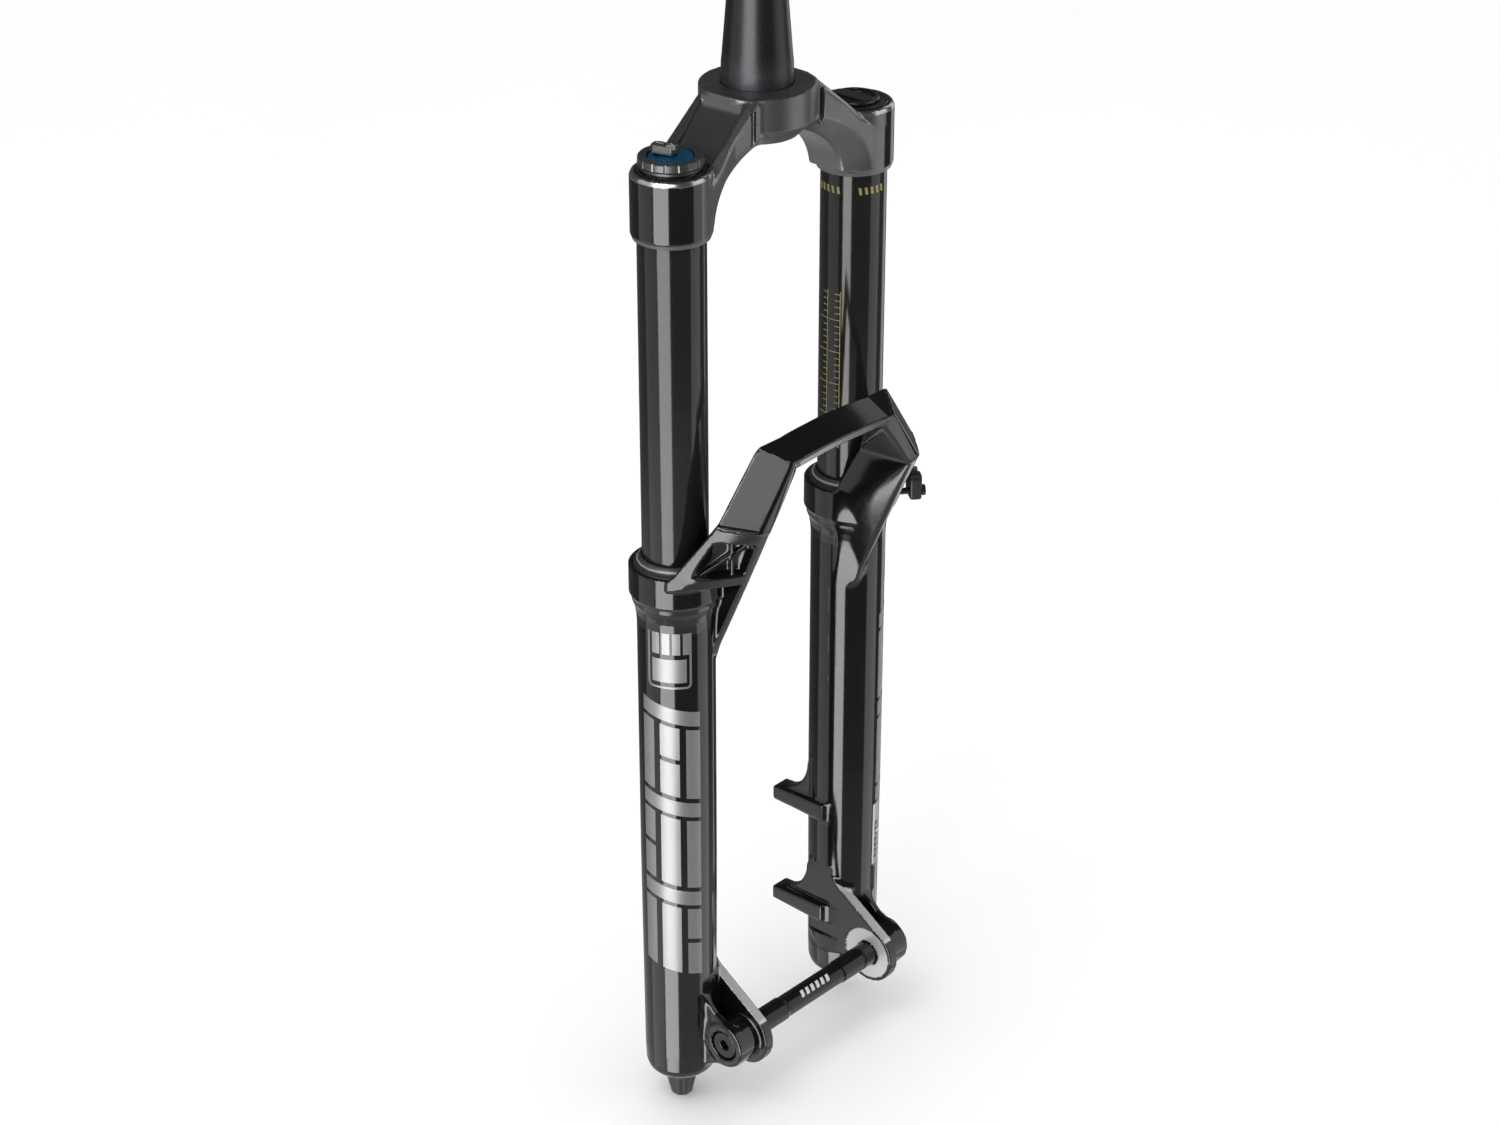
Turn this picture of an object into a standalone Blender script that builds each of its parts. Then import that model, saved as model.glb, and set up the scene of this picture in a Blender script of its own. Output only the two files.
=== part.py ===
"""Air-sprung mountain-bike suspension fork, as an assembly of its separate pieces.

The frame's origin is the crown race seat on the steerer axis. +Z runs up the steerer, -Y is the
front of the fork, -X the drive side (damper leg) and +X the brake side (air leg).
Every dimension below is in millimetres; the helpers turn them into metres.
"""

import math

import bmesh
import bpy
from mathutils import Matrix, Vector

MM = 0.001
GAP = 0.3  # clearance between pieces that touch on the real fork

# Driving dimensions
DRIVE, BRAKE = -1, 1  # sign of X on each side
LEG_X, LEG_Y = 75, -6
STANCHION_R, STANCHION_WALL = 19, 1.8
STANCHION_TOP, STANCHION_BOTTOM = -29.5, -402
AXLE_Y, AXLE_Z, AXLE_R = -44, -576, 7.5
HUB_HALF_WIDTH = 55

STEERER_TOP, STEERER_R = 265, 14.3
RACE_SEAT_R, RACE_SEAT_HEIGHT, TAPER_TOP = 19.9, 12, 80
SHOULDER_Z = -1  # floor of the crown's counterbore, where the tube's shoulder rests
STEERER_PRESS_R, STEERER_PRESS_BOTTOM = 18.5, -26

CROWN_HUB_R = 32.3
CLAMP_R, CLAMP_TOP, CLAMP_BOTTOM = 22.5, -28, -67
CROWN_FRONT, CROWN_REAR = -28.35, 16.35
CAP_ROOM_FLOOR = -29
CAP_FLANGE_R, CAP_THREAD_R, CAP_BOTTOM = 18.9, 16.8, -46

COLLAR_R, COLLAR_TOP, COLLAR_BOTTOM = 26.7, -262, -279.5
WIPER_ROOM_R = 25.2  # kept clear of the arch above each collar
LEG_R, LEG_TOP_FLARE, LEG_TAPER_START = 22.4, -297, -455
LEG_FOOT_R, LEG_FLOOR, LEG_BOTTOM = 21.6, -590, -607
SEAL_BORE_R, SEAL_BORE_BOTTOM = 24.3, -284
BUSHING_BORE_R, BUSHING_BORE_BOTTOM = 20.6, -414
LOWER_BORE_R = 19.4
BUSHING_LENGTH, UPPER_BUSHING_TOP, LOWER_BUSHING_TOP = 24, -286, -382

FLANGE_OUTER, FLANGE_INNER, FLANGE_R = 61.5, 54.6, 19.5
HUB_SEAT_R = 17.25
BOSS_R, BOSS_END = 14, 78
AXLE_HEAD_R, AXLE_HEAD_DEPTH = 9.2, 6.5

POST_SPACING = 74.2
UPPER_POST_Z = -486.2
POST_INNER_X, POST_OUTER_X, POST_TIP_Y = 50, 63, 31.6

SHAFT_R, SHAFT_BOTTOM = 5, -589.7
FOOT_HOLE_R, FOOT_POCKET_R, FOOT_POCKET_TOP = 4.3, 9, -600
DAMPER_PISTON_TOP, AIR_PISTON_TOP = -364, -370
KNOB_TOP, KNOB_BOTTOM = -608, -629
FOOT_THREAD_TOP = -577

ORING_Z, ORING_GROOVE_R, ORING_GROOVE_HALF = -40, 15, 1.4
CARTRIDGE_R, CARTRIDGE_BORE, CARTRIDGE_TOP, CARTRIDGE_BOTTOM = 15.5, 14.2, -47, -399

DIAL_R, DIAL_TOP, DIAL_RIM_BOTTOM, DIAL_NOTCHES = 18, -20.2, -25.2, 16
BLUE_R, BLUE_TOP = 12.4, -20.8
LEVER_TURN = math.radians(14)

ARCH_TOP_REAR, ARCH_TOP_FRONT = (55, -50, -184.7), (43, -67, -193.3)
ARCH_UNDER_REAR, ARCH_UNDER_FRONT = (48, -46.5, -192.5), (36.5, -63, -200.5)
BAND_LOW_REAR, BAND_LOW_FRONT = (84.5, -46, -225), (68.7, -65, -228.5)
ROOT_FRONT, ROOT_REAR = (59.7, -65, -230.5), (56, -29, -231)
FIN_FOOT = [(61, -25, -322), (66, -24, -316), (57, -16, -318)]

GUIDE_AT, GUIDE_BOLT_Z = (88.5, -44.5, -257), -263
GUIDE_TURN = math.radians(-39)  # turns +X to the root's outward normal
GUIDE_BOLT_SIDE, HOSE_CHANNEL_SIDE = -3.5, 3.4  # either side of the clip's middle
HOSE_CHANNEL_R = 3.1

ROUND, FINE, COARSE = 20, 28, 12  # sides of a turned piece: usual, large and hidden


# ---------------------------------------------------------------- helpers

def clear_scene():
    for obj in list(bpy.data.objects):
        bpy.data.objects.remove(obj, do_unlink=True)


def material(name, colour, roughness, metallic):
    found = bpy.data.materials.get(name)
    if found:
        return found
    made = bpy.data.materials.new(name)
    made.use_nodes = True
    shader = made.node_tree.nodes["Principled BSDF"]
    shader.inputs["Base Color"].default_value = (*colour, 1)
    shader.inputs["Roughness"].default_value = roughness
    shader.inputs["Metallic"].default_value = metallic
    return made


def gloss_black():
    return material("gloss_black_paint", (0.008, 0.008, 0.009), 0.12, 0.0)


def stanchion_black():
    return material("hard_black_anodised", (0.016, 0.015, 0.014), 0.1, 0.6)


def crown_grey():
    return material("satin_gunmetal", (0.11, 0.11, 0.115), 0.38, 0.8)


def black_plastic():
    return material("black_plastic", (0.012, 0.012, 0.013), 0.4, 0.0)


def black_rubber():
    return material("black_rubber", (0.014, 0.014, 0.014), 0.7, 0.0)


def bright_alloy():
    return material("bright_alloy", (0.6, 0.6, 0.61), 0.3, 1.0)


def blue_alloy():
    return material("blue_anodised", (0.01, 0.13, 0.32), 0.3, 0.9)


def spring_steel():
    return material("steel", (0.42, 0.42, 0.43), 0.32, 1.0)


def brass():
    return material("brass", (0.7, 0.5, 0.2), 0.35, 1.0)


def bearing_bronze():
    return material("bushing_liner", (0.16, 0.17, 0.14), 0.5, 0.3)


def foam():
    return material("oiled_foam", (0.35, 0.3, 0.12), 0.9, 0.0)


def finish(name, bm, paint=None, parent=None, at=(0, 0, 0)):
    """Makes an object of bm, whose points are millimetres from at."""
    bmesh.ops.remove_doubles(bm, verts=bm.verts, dist=1e-5)
    bmesh.ops.recalc_face_normals(bm, faces=bm.faces)
    bmesh.ops.scale(bm, verts=bm.verts, vec=(MM, MM, MM))
    mesh = bpy.data.meshes.new(name)
    bm.to_mesh(mesh)
    bm.free()
    obj = bpy.data.objects.new(name, mesh)
    bpy.context.scene.collection.objects.link(obj)
    obj.location = Vector(at) * MM
    obj.parent = parent
    if paint:
        mesh.materials.append(paint)
        mesh.shade_smooth()
        mesh.set_sharp_from_angle(angle=math.radians(32))
    else:
        obj.hide_render = True
        obj.display_type = "WIRE"
    return obj


def revolve(bm, profile, sides, ring=True, matrix=None):
    """Turns (radius, height) points round Z. A ring's outline closes; any other ends on the axis."""
    rows = []
    for radius, height in profile:
        if radius == 0:
            rows.append([bm.verts.new((0, 0, height))])
            continue
        turns = (2 * math.pi * step / sides for step in range(sides))
        round_row = [(radius * math.cos(turn), radius * math.sin(turn), height) for turn in turns]
        rows.append([bm.verts.new(point) for point in round_row])
    pairs = zip(rows, rows[1:] + rows[:1]) if ring else zip(rows, rows[1:])
    for first, second in pairs:
        for step in range(sides):
            after = (step + 1) % sides
            corners = [first[step % len(first)], first[after % len(first)]]
            corners += [second[after % len(second)], second[step % len(second)]]
            kept = list(dict.fromkeys(corners))
            if len(kept) > 2:
                bm.faces.new(kept)
    if matrix:
        bmesh.ops.transform(bm, matrix=matrix, verts=[v for row in rows for v in row])


def turned(name, profile, paint=None, parent=None, at=(0, 0, 0), sides=ROUND, along_x=False):
    """A turned piece. One that starts and ends on the axis is solid; any other is a ring."""
    bm = bmesh.new()
    solid = profile[0][0] == 0 and profile[-1][0] == 0
    matrix = Matrix.Rotation(math.pi / 2, 4, "Y") if along_x else None
    revolve(bm, profile, sides, not solid, matrix)
    return finish(name, bm, paint, parent, at)


def cylinder(name, radius, low, high, sides=COARSE, along_x=False):
    """A hidden cylinder to cut with."""
    profile = [(0, high), (radius, high), (radius, low), (0, low)]
    return turned(name, profile, sides=sides, along_x=along_x)


def hull(name, points):
    """A hidden solid: the smallest convex one round the points."""
    bm = bmesh.new()
    for point in points:
        bm.verts.new(point)
    made = bmesh.ops.convex_hull(bm, input=bm.verts)
    inside = [found for found in made["geom_interior"] if isinstance(found, bmesh.types.BMVert)]
    bmesh.ops.delete(bm, geom=inside, context="VERTS")
    return finish(name, bm)


def loft(name, sections, paint=None, parent=None, at=(0, 0, 0)):
    """A closed solid through outlines that have the same number of points."""
    bm = bmesh.new()
    rows = [[bm.verts.new(point) for point in outline] for outline in sections]
    for first, second in zip(rows, rows[1:]):
        for index, corner in enumerate(first):
            after = (index + 1) % len(first)
            bm.faces.new([corner, first[after], second[after], second[index]])
    bm.faces.new(rows[0])
    bm.faces.new(rows[-1])
    bm.normal_update()
    bmesh.ops.triangulate(bm, faces=bm.faces)
    return finish(name, bm, paint, parent, at)


def prism_x(name, outline, low, high):
    """A hidden solid of a (y, z) outline between two X planes."""
    return loft(name, [[(x, y, z) for y, z in outline] for x in sorted((low, high))])


def combine(target, helpers, operation):
    """One Boolean with all the helpers, kept in a collection of their own."""
    group = bpy.data.collections.new(f"{target.name}_{operation.lower()}")
    bpy.context.scene.collection.children.link(group)
    for helper in helpers:
        group.objects.link(helper)
        bpy.context.scene.collection.objects.unlink(helper)
    modifier = target.modifiers.new(operation.title(), "BOOLEAN")
    modifier.operation = operation
    modifier.operand_type = "COLLECTION"
    modifier.collection = group
    modifier.solver = "EXACT"


def join(target, *helpers):
    combine(target, helpers, "UNION")


def cut(target, *helpers):
    combine(target, helpers, "DIFFERENCE")


def arc(centre, radius, start, end, steps):
    """Points on an arc, the angles in degrees."""
    angles = (math.radians(start + (end - start) * step / steps) for step in range(steps + 1))
    return [(centre[0] + radius * math.cos(a), centre[1] + radius * math.sin(a)) for a in angles]


def leg_at(side):
    return (side * LEG_X, LEG_Y, 0)


def side_name(side):
    return "drive_side" if side == DRIVE else "brake_side"


def empty(name, at=(0, 0, 0), parent=None):
    obj = bpy.data.objects.new(name, None)
    obj.location = Vector(at) * MM
    obj.parent = parent
    bpy.context.scene.collection.objects.link(obj)
    return obj


def ring_section(inner, outer, low, high):
    return [(inner, high), (outer, high), (outer, low), (inner, low)]


# ---------------------------------------------------------------- crown and steerer

def crown_top(x):
    """Height of the arm's upper edge: level just under the hub's top, then falling to the clamp's bevel."""
    return max(-0.25 - 0.82 * max(abs(x) - 26.2, 0), CLAMP_TOP - 3.6)


def crown_ridge(x):
    """Height of the front and rear faces' lower edge: a half ellipse standing on the clamps' bottom."""
    half_width, rise = 65.5, 46.5
    across = min(abs(x) / half_width, 1)
    return CLAMP_BOTTOM + max(rise * math.sqrt(1 - across**2), 4.5)


def crown_underside(x):
    """The arch over the tyre, below the ridge by the depth of its chamfer."""
    past_middle, past_knee = max(abs(x) - 16, 0), max(abs(x) - 36, 0)
    return max(-27.5 - 0.6 * past_middle - 0.22 * past_knee, CLAMP_BOTTOM + 1.5)


def make_crown(parent):
    stations = (-LEG_X, -61, -48, -36, -26, -16, 16, 26, 36, 48, 61, LEG_X)
    chamfer_front, chamfer_rear = -20, 8
    sections = []
    for y, low in (
        (CROWN_FRONT, crown_ridge),
        (chamfer_front, crown_underside),
        (chamfer_rear, crown_underside),
        (CROWN_REAR, crown_ridge),
    ):
        top = [(x, y, crown_top(x)) for x in stations]
        sections.append(top + [(x, y, low(x)) for x in reversed(stations)])
    crown = loft("crown", sections, crown_grey(), parent)
    hub_profile = [(0, 0), (CROWN_HUB_R - 0.6, 0), (CROWN_HUB_R, -0.8), (CROWN_HUB_R, -19)]
    hub_profile += [(23, -28.7), (0, -28.7)]
    added = [turned("crown_hub", hub_profile, sides=FINE)]
    press_r, counterbore_r = STEERER_PRESS_R + GAP, RACE_SEAT_R + GAP
    hub_bore = [(0, 20), (counterbore_r, 20), (counterbore_r, SHOULDER_Z), (press_r, SHOULDER_Z)]
    removed = [turned("steerer_bore", hub_bore + [(press_r, -60), (0, -60)], sides=FINE)]
    for side in (DRIVE, BRAKE):
        name = side_name(side)
        clamp_profile = [(0, CLAMP_TOP - 0.4), (20.4, CLAMP_TOP - 0.4), (CLAMP_R, CLAMP_TOP - 3.4)]
        clamp_profile += [(CLAMP_R, CLAMP_BOTTOM + 0.8), (CLAMP_R - 0.8, CLAMP_BOTTOM), (0, CLAMP_BOTTOM)]
        added.append(turned(f"clamp_{name}", clamp_profile, at=leg_at(side), sides=FINE))
        pocket_outline = [(35, -15.5), (56, -22.5), (56, 10), (35, 10)]
        floor = [(side * x, y, -10.5 - 0.9 * (x - 35)) for x, y in pocket_outline]
        mouth = [(side * (x - 1.5), y, 6) for x, y in pocket_outline]
        removed.append(loft(f"arm_pocket_{name}", [floor, mouth]))
        slit = [(side * x, y) for x, y in ((26.2, -36), (29, -36), (29, -18), (26.2, -20))]
        removed.append(loft(f"hub_slit_{name}", [[(x, y, z) for x, y in slit] for z in (-28, -6)]))
        bore_r, room_r = STANCHION_R + GAP, CAP_FLANGE_R + 0.8
        bore = [(0, 10), (room_r, 10), (room_r, CAP_ROOM_FLOOR), (bore_r, CAP_ROOM_FLOOR)]
        bore += [(bore_r, -90), (0, -90)]
        removed.append(turned(f"clamp_bore_{name}", bore, at=leg_at(side), sides=FINE))
    join(crown, *added)
    cut(crown, *removed)


def make_steerer(parent):
    shoulder = SHOULDER_Z + GAP
    outer = [(STEERER_PRESS_R, STEERER_PRESS_BOTTOM), (STEERER_PRESS_R, shoulder), (RACE_SEAT_R, shoulder)]
    outer += [(RACE_SEAT_R, RACE_SEAT_HEIGHT), (STEERER_R, TAPER_TOP), (STEERER_R, STEERER_TOP - 0.8)]
    outer += [(STEERER_R - 0.8, STEERER_TOP)]
    inner = [(11.9, STEERER_TOP), (11.9, TAPER_TOP), (15.5, RACE_SEAT_HEIGHT), (15.5, STEERER_PRESS_BOTTOM)]
    turned("steerer_tube", outer + inner, stanchion_black(), parent, sides=FINE)


def make_stanchion(side, parent):
    inner = STANCHION_R - STANCHION_WALL
    profile = [(inner, STANCHION_TOP), (STANCHION_R, STANCHION_TOP), (STANCHION_R, STANCHION_BOTTOM + 1)]
    profile += [(STANCHION_R - 0.8, STANCHION_BOTTOM), (inner, STANCHION_BOTTOM)]
    turned(f"stanchion_{side_name(side)}", profile, stanchion_black(), parent, leg_at(side), FINE)


# ---------------------------------------------------------------- damper leg, fixed pieces

def threaded_cap(name, well_r, well_floor, parent, side, bore_r):
    """A cap screwed into a stanchion: flange, O-ring groove, and a well with a hole through its floor."""
    top, seat = CLAMP_TOP - 0.2, STANCHION_TOP + GAP
    groove_top, groove_bottom = ORING_Z + ORING_GROOVE_HALF, ORING_Z - ORING_GROOVE_HALF
    profile = [(well_r, top), (CAP_FLANGE_R - 0.4, top), (CAP_FLANGE_R, top - 0.3), (CAP_FLANGE_R, seat)]
    profile += [(CAP_THREAD_R, seat), (CAP_THREAD_R, groove_top), (ORING_GROOVE_R, groove_top)]
    profile += [(ORING_GROOVE_R, groove_bottom), (CAP_THREAD_R, groove_bottom), (CAP_THREAD_R, CAP_BOTTOM)]
    profile += [(bore_r, CAP_BOTTOM), (bore_r, well_floor), (well_r, well_floor)]
    turned(name, profile, black_plastic(), parent, leg_at(side))


def torus(name, ring_r, wire_r, z, paint, parent, side):
    """A ring of square wire, standing on its corner."""
    profile = arc((ring_r, z), wire_r, 0, 270, 3)
    turned(name, profile, paint, parent, leg_at(side))


def make_damper_internals(parent):
    at = leg_at(DRIVE)
    threaded_cap("damper_top_cap", 12.5, -34, parent, DRIVE, 3.2)
    torus("damper_top_cap_oring", 15.9, 0.75, ORING_Z, black_rubber(), parent, DRIVE)
    tube = ring_section(CARTRIDGE_BORE, CARTRIDGE_R, CARTRIDGE_BOTTOM, CARTRIDGE_TOP)
    turned("damper_cartridge_tube", tube, bright_alloy(), parent, at, COARSE)
    stem_r, stem_top, valve_top, valve_r = 4.5, -48, -132, 13.8
    valve = [(0, stem_top), (stem_r, stem_top), (stem_r, valve_top), (valve_r, valve_top)]
    valve += [(valve_r, valve_top - 3), (11, valve_top - 3), (11, valve_top - 7), (valve_r, valve_top - 7)]
    valve += [(valve_r, valve_top - 10), (0, valve_top - 10)]
    turned("compression_valve", valve, bright_alloy(), parent, at, COARSE)
    bladder = [(5, -52), (7, -52), (12.8, -62), (12.8, -118), (7, -128), (5, -128)]
    bladder += [(11.4, -116), (11.4, -64)]
    turned("damper_bladder", bladder, black_rubber(), parent, at, COARSE)
    head = [(SHAFT_R + GAP, -386), (CARTRIDGE_BORE - GAP, -386), (CARTRIDGE_BORE - GAP, -400)]
    head += [(16.5, -400), (16.5, -402), (SHAFT_R + GAP, -402)]
    turned("cartridge_seal_head", head, bright_alloy(), parent, at, COARSE)


def make_high_speed_dial(parent):
    """Outer dial: notched rim, dished top, and a short sleeve that turns in the cap's well."""
    well_r = BLUE_R + 0.4
    profile = [(3.2, -26), (3.2, -33.6), (11, -33.6), (11, -27.4), (17.2, -27.4), (17.2, -25.4)]
    profile += [(DIAL_R, DIAL_RIM_BOTTOM), (DIAL_R, DIAL_TOP - 0.5), (DIAL_R - 0.5, DIAL_TOP)]
    profile += [(well_r, DIAL_TOP), (well_r, -26)]
    dial = turned("high_speed_dial", profile, black_plastic(), parent, sides=2 * DIAL_NOTCHES)
    bm = bmesh.new()
    for step in range(DIAL_NOTCHES):
        turn = Matrix.Rotation(2 * math.pi * (step + 0.5) / DIAL_NOTCHES, 4, "Z")
        spot = turn @ Matrix.Translation((DIAL_R + 0.35, 0, (DIAL_TOP + DIAL_RIM_BOTTOM) / 2))
        bmesh.ops.create_cube(bm, size=1, matrix=spot @ Matrix.Diagonal((1.6, 1.1, 7, 1)))
    cut(dial, finish("dial_notches", bm, parent=parent))


def make_low_speed_lever(parent):
    """Blue inner dial on its spindle, the raised lever across it, and the screw that holds them."""
    profile = [(0, -31), (1.6, -31), (1.6, BLUE_TOP), (BLUE_R, BLUE_TOP), (BLUE_R, -24.5)]
    profile += [(2.9, -25.5), (2.9, -46), (0, -46)]
    turned("low_speed_dial", profile, blue_alloy(), parent)
    half, top, low = 4.3, -15.4, BLUE_TOP + GAP
    outline = [(-half, -3), (half, -3), (half, 9), (2.5, 11.8), (-2.5, 11.8), (-half, 9)]
    lever = loft(
        "low_speed_lever_bar",
        [[(x, y, low) for x, y in outline], [(0.8 * x, 0.92 * y, top) for x, y in outline]],
        black_plastic(),
        parent,
    )
    lever.rotation_euler.z = LEVER_TURN
    holes = [cylinder("lever_screw_hole", 1.9, -30, -10), cylinder("lever_head_seat", 3.2, -18, -10)]
    for hole in holes:
        hole.parent = parent
    cut(lever, *holes)
    screw = [(0, -16.2), (2.8, -16.2), (2.8, -17.7), (1.3, -17.7), (1.3, -30), (0, -30)]
    turned("low_speed_lever_screw", screw, spring_steel(), parent, sides=COARSE)


# ---------------------------------------------------------------- air leg, fixed pieces

def make_air_internals(parent):
    at = leg_at(BRAKE)
    threaded_cap("air_top_cap", 13, -41, parent, BRAKE, 4.3)
    torus("air_top_cap_oring", 15.9, 0.75, ORING_Z, black_rubber(), parent, BRAKE)
    stem = [(1.5, -31), (4, -31), (4, -50), (1.5, -50)]
    turned("air_valve_stem", stem, brass(), parent, at, COARSE)
    for index in range(2):
        top = -52 - 16.5 * index
        spacer = [(4.8, top), (13.5, top), (15.5, top - 3), (15.5, top - 16), (12, top - 16)]
        spacer += [(12, top - 5), (4.8, top - 5)]
        turned(f"volume_spacer_{index + 1}", spacer, black_plastic(), parent, at, COARSE)
    inner = STANCHION_R - STANCHION_WALL
    head = [(SHAFT_R + GAP, -384), (inner - GAP, -384), (inner - GAP, -398), (SHAFT_R + GAP, -398)]
    turned("air_seal_head", head, bright_alloy(), parent, at, COARSE)
    ring = ring_section(13.5, inner - GAP, -400, -398.4)
    turned("air_retaining_ring", ring, spring_steel(), parent, at, COARSE)


def make_valve_cap(parent):
    """Round cover screwed over the valve, with a bar left between two finger recesses."""
    outline = [(0, -25.7), (13.4, -25.7), (14, -26.2), (14, -27.7), (12.6, -27.9), (12.6, -29.6)]
    outline += [(7, -29.6), (7, -38), (4.6, -38), (4.6, -29), (0, -29)]
    cap = turned("air_valve_cap", outline, black_plastic(), parent)
    recesses = []
    for side in (DRIVE, BRAKE):
        half_moon = [(side * x, y) for x, y in arc((0, 0), 11.6, -68, 68, 6)]
        levels = [[(x, y, z) for x, y in half_moon] for z in (-28, -20)]
        recesses.append(loft(f"cap_recess_{side_name(side)}", levels, parent=parent))
    cut(cap, *recesses)


def make_valve_pin(parent):
    pin = [(0, -31.4), (0.9, -31.4), (0.9, -46), (0, -46)]
    turned("air_valve_pin", pin, brass(), parent, sides=10)


# ---------------------------------------------------------------- lower casting

def mirrored(points, side):
    return [(side * x, y, z) for x, y, z in points]


def leg_solid(side):
    profile = [(0, COLLAR_TOP), (COLLAR_R - 0.6, COLLAR_TOP), (COLLAR_R, COLLAR_TOP - 0.6)]
    profile += [(COLLAR_R, COLLAR_BOTTOM), (24.2, -286), (22.9, -291.5)]
    profile += [(LEG_R, LEG_TOP_FLARE), (LEG_R, LEG_TAPER_START), (LEG_FOOT_R, LEG_FLOOR)]
    profile += [(LEG_FOOT_R - 0.6, LEG_BOTTOM + 4.5), (LEG_FOOT_R - 3.5, LEG_BOTTOM), (0, LEG_BOTTOM)]
    return turned(f"leg_{side_name(side)}", profile, at=leg_at(side), sides=FINE)


def arch_pieces():
    """The bridge between the legs, and the root that carries it into each collar."""
    top = [ARCH_TOP_REAR, ARCH_TOP_FRONT, ARCH_UNDER_FRONT, ARCH_UNDER_REAR]
    pieces = [hull("arch_bridge", mirrored(top, DRIVE) + mirrored(top, BRAKE))]
    low = [BAND_LOW_REAR, BAND_LOW_FRONT, ROOT_FRONT, ROOT_REAR]
    collar = []
    for angle in (-160, -135, -110, -85, -60, -35):
        direction = (math.cos(math.radians(angle)), math.sin(math.radians(angle)))
        for z in (COLLAR_TOP, COLLAR_BOTTOM):
            collar.append((LEG_X + COLLAR_R * direction[0], LEG_Y + COLLAR_R * direction[1], z))
    for side in (DRIVE, BRAKE):
        name = side_name(side)
        pieces.append(hull(f"arch_band_{name}", mirrored(top + low, side)))
        pieces.append(hull(f"arch_root_{name}", mirrored(low + collar + FIN_FOOT, side)))
    return pieces


def arch_pockets(side):
    """The weight-saving hollow in the outside of each root, and the one behind the band."""
    mouth = [(88, -48, -234), (70, -70, -236), (67.5, -54, -260), (93, -33, -259)]
    floor = [(76, -38, -236), (64, -53, -237), (64, -46, -258), (80, -34, -258)]
    outer = loft(f"root_pocket_{side_name(side)}", [mirrored(mouth, side), mirrored(floor, side)])
    rear_mouth = [(56, -40, -196), (70, -36, -214), (76, -25, -226), (60, -20, -228)]
    rear_floor = [(53, -56, -201), (66, -55, -217), (71, -52, -227), (60.5, -54, -226)]
    rear = loft(f"band_pocket_{side_name(side)}", [mirrored(rear_mouth, side), mirrored(rear_floor, side)])
    return outer, rear


def dropout_pieces(side):
    """Inner flange that the hub presses on, outer boss round the axle, and the web between leg and boss."""
    name = side_name(side)
    circle = arc((AXLE_Y, AXLE_Z), FLANGE_R, 131, 330, 12)
    flange = circle + [(-6, -586), (4, -577), (3, -533), (-3, -527)]
    boss = turned(
        f"boss_{name}",
        [(0, 58), (BOSS_R, 58), (BOSS_R, BOSS_END - 0.8), (BOSS_R - 0.8, BOSS_END), (0, BOSS_END)],
        at=(0, AXLE_Y, AXLE_Z),
        along_x=True,
    )
    if side == DRIVE:
        boss.rotation_euler.z = math.pi
    web = [(-20, -544), (-36, -560), (-48, -563.4), (-53, -587), (-36, -592.5), (-18, -603)]
    web += [(-8, -603), (-8, -544)]
    return [
        prism_x(f"flange_{name}", flange, side * FLANGE_INNER, side * FLANGE_OUTER),
        boss,
        prism_x(f"web_{name}", web, side * 66, side * 76.5),
    ]


def brake_post_pieces():
    """Two rearward posts on the air leg, each with a curved gusset above it."""
    pieces = []
    for index, z in enumerate((UPPER_POST_Z, UPPER_POST_Z - POST_SPACING)):
        outline = [(-12, z + 6), (-4, z + 6), (POST_TIP_Y - 1, z + 4.5), (POST_TIP_Y, z + 3.5)]
        outline += [(POST_TIP_Y, z - 4), (POST_TIP_Y - 1, z - 5), (-4, z - 6), (-12, z - 6)]
        pieces.append(prism_x(f"brake_post_{index}", outline, POST_INNER_X, POST_OUTER_X))
        curve = arc((30.5, z + 29), 24, 180, 262, 6)
        pieces.append(prism_x(f"post_gusset_{index}", [(4, z + 34)] + curve + [(26, z), (4, z)], 53.5, 61.5))
    return pieces


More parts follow.
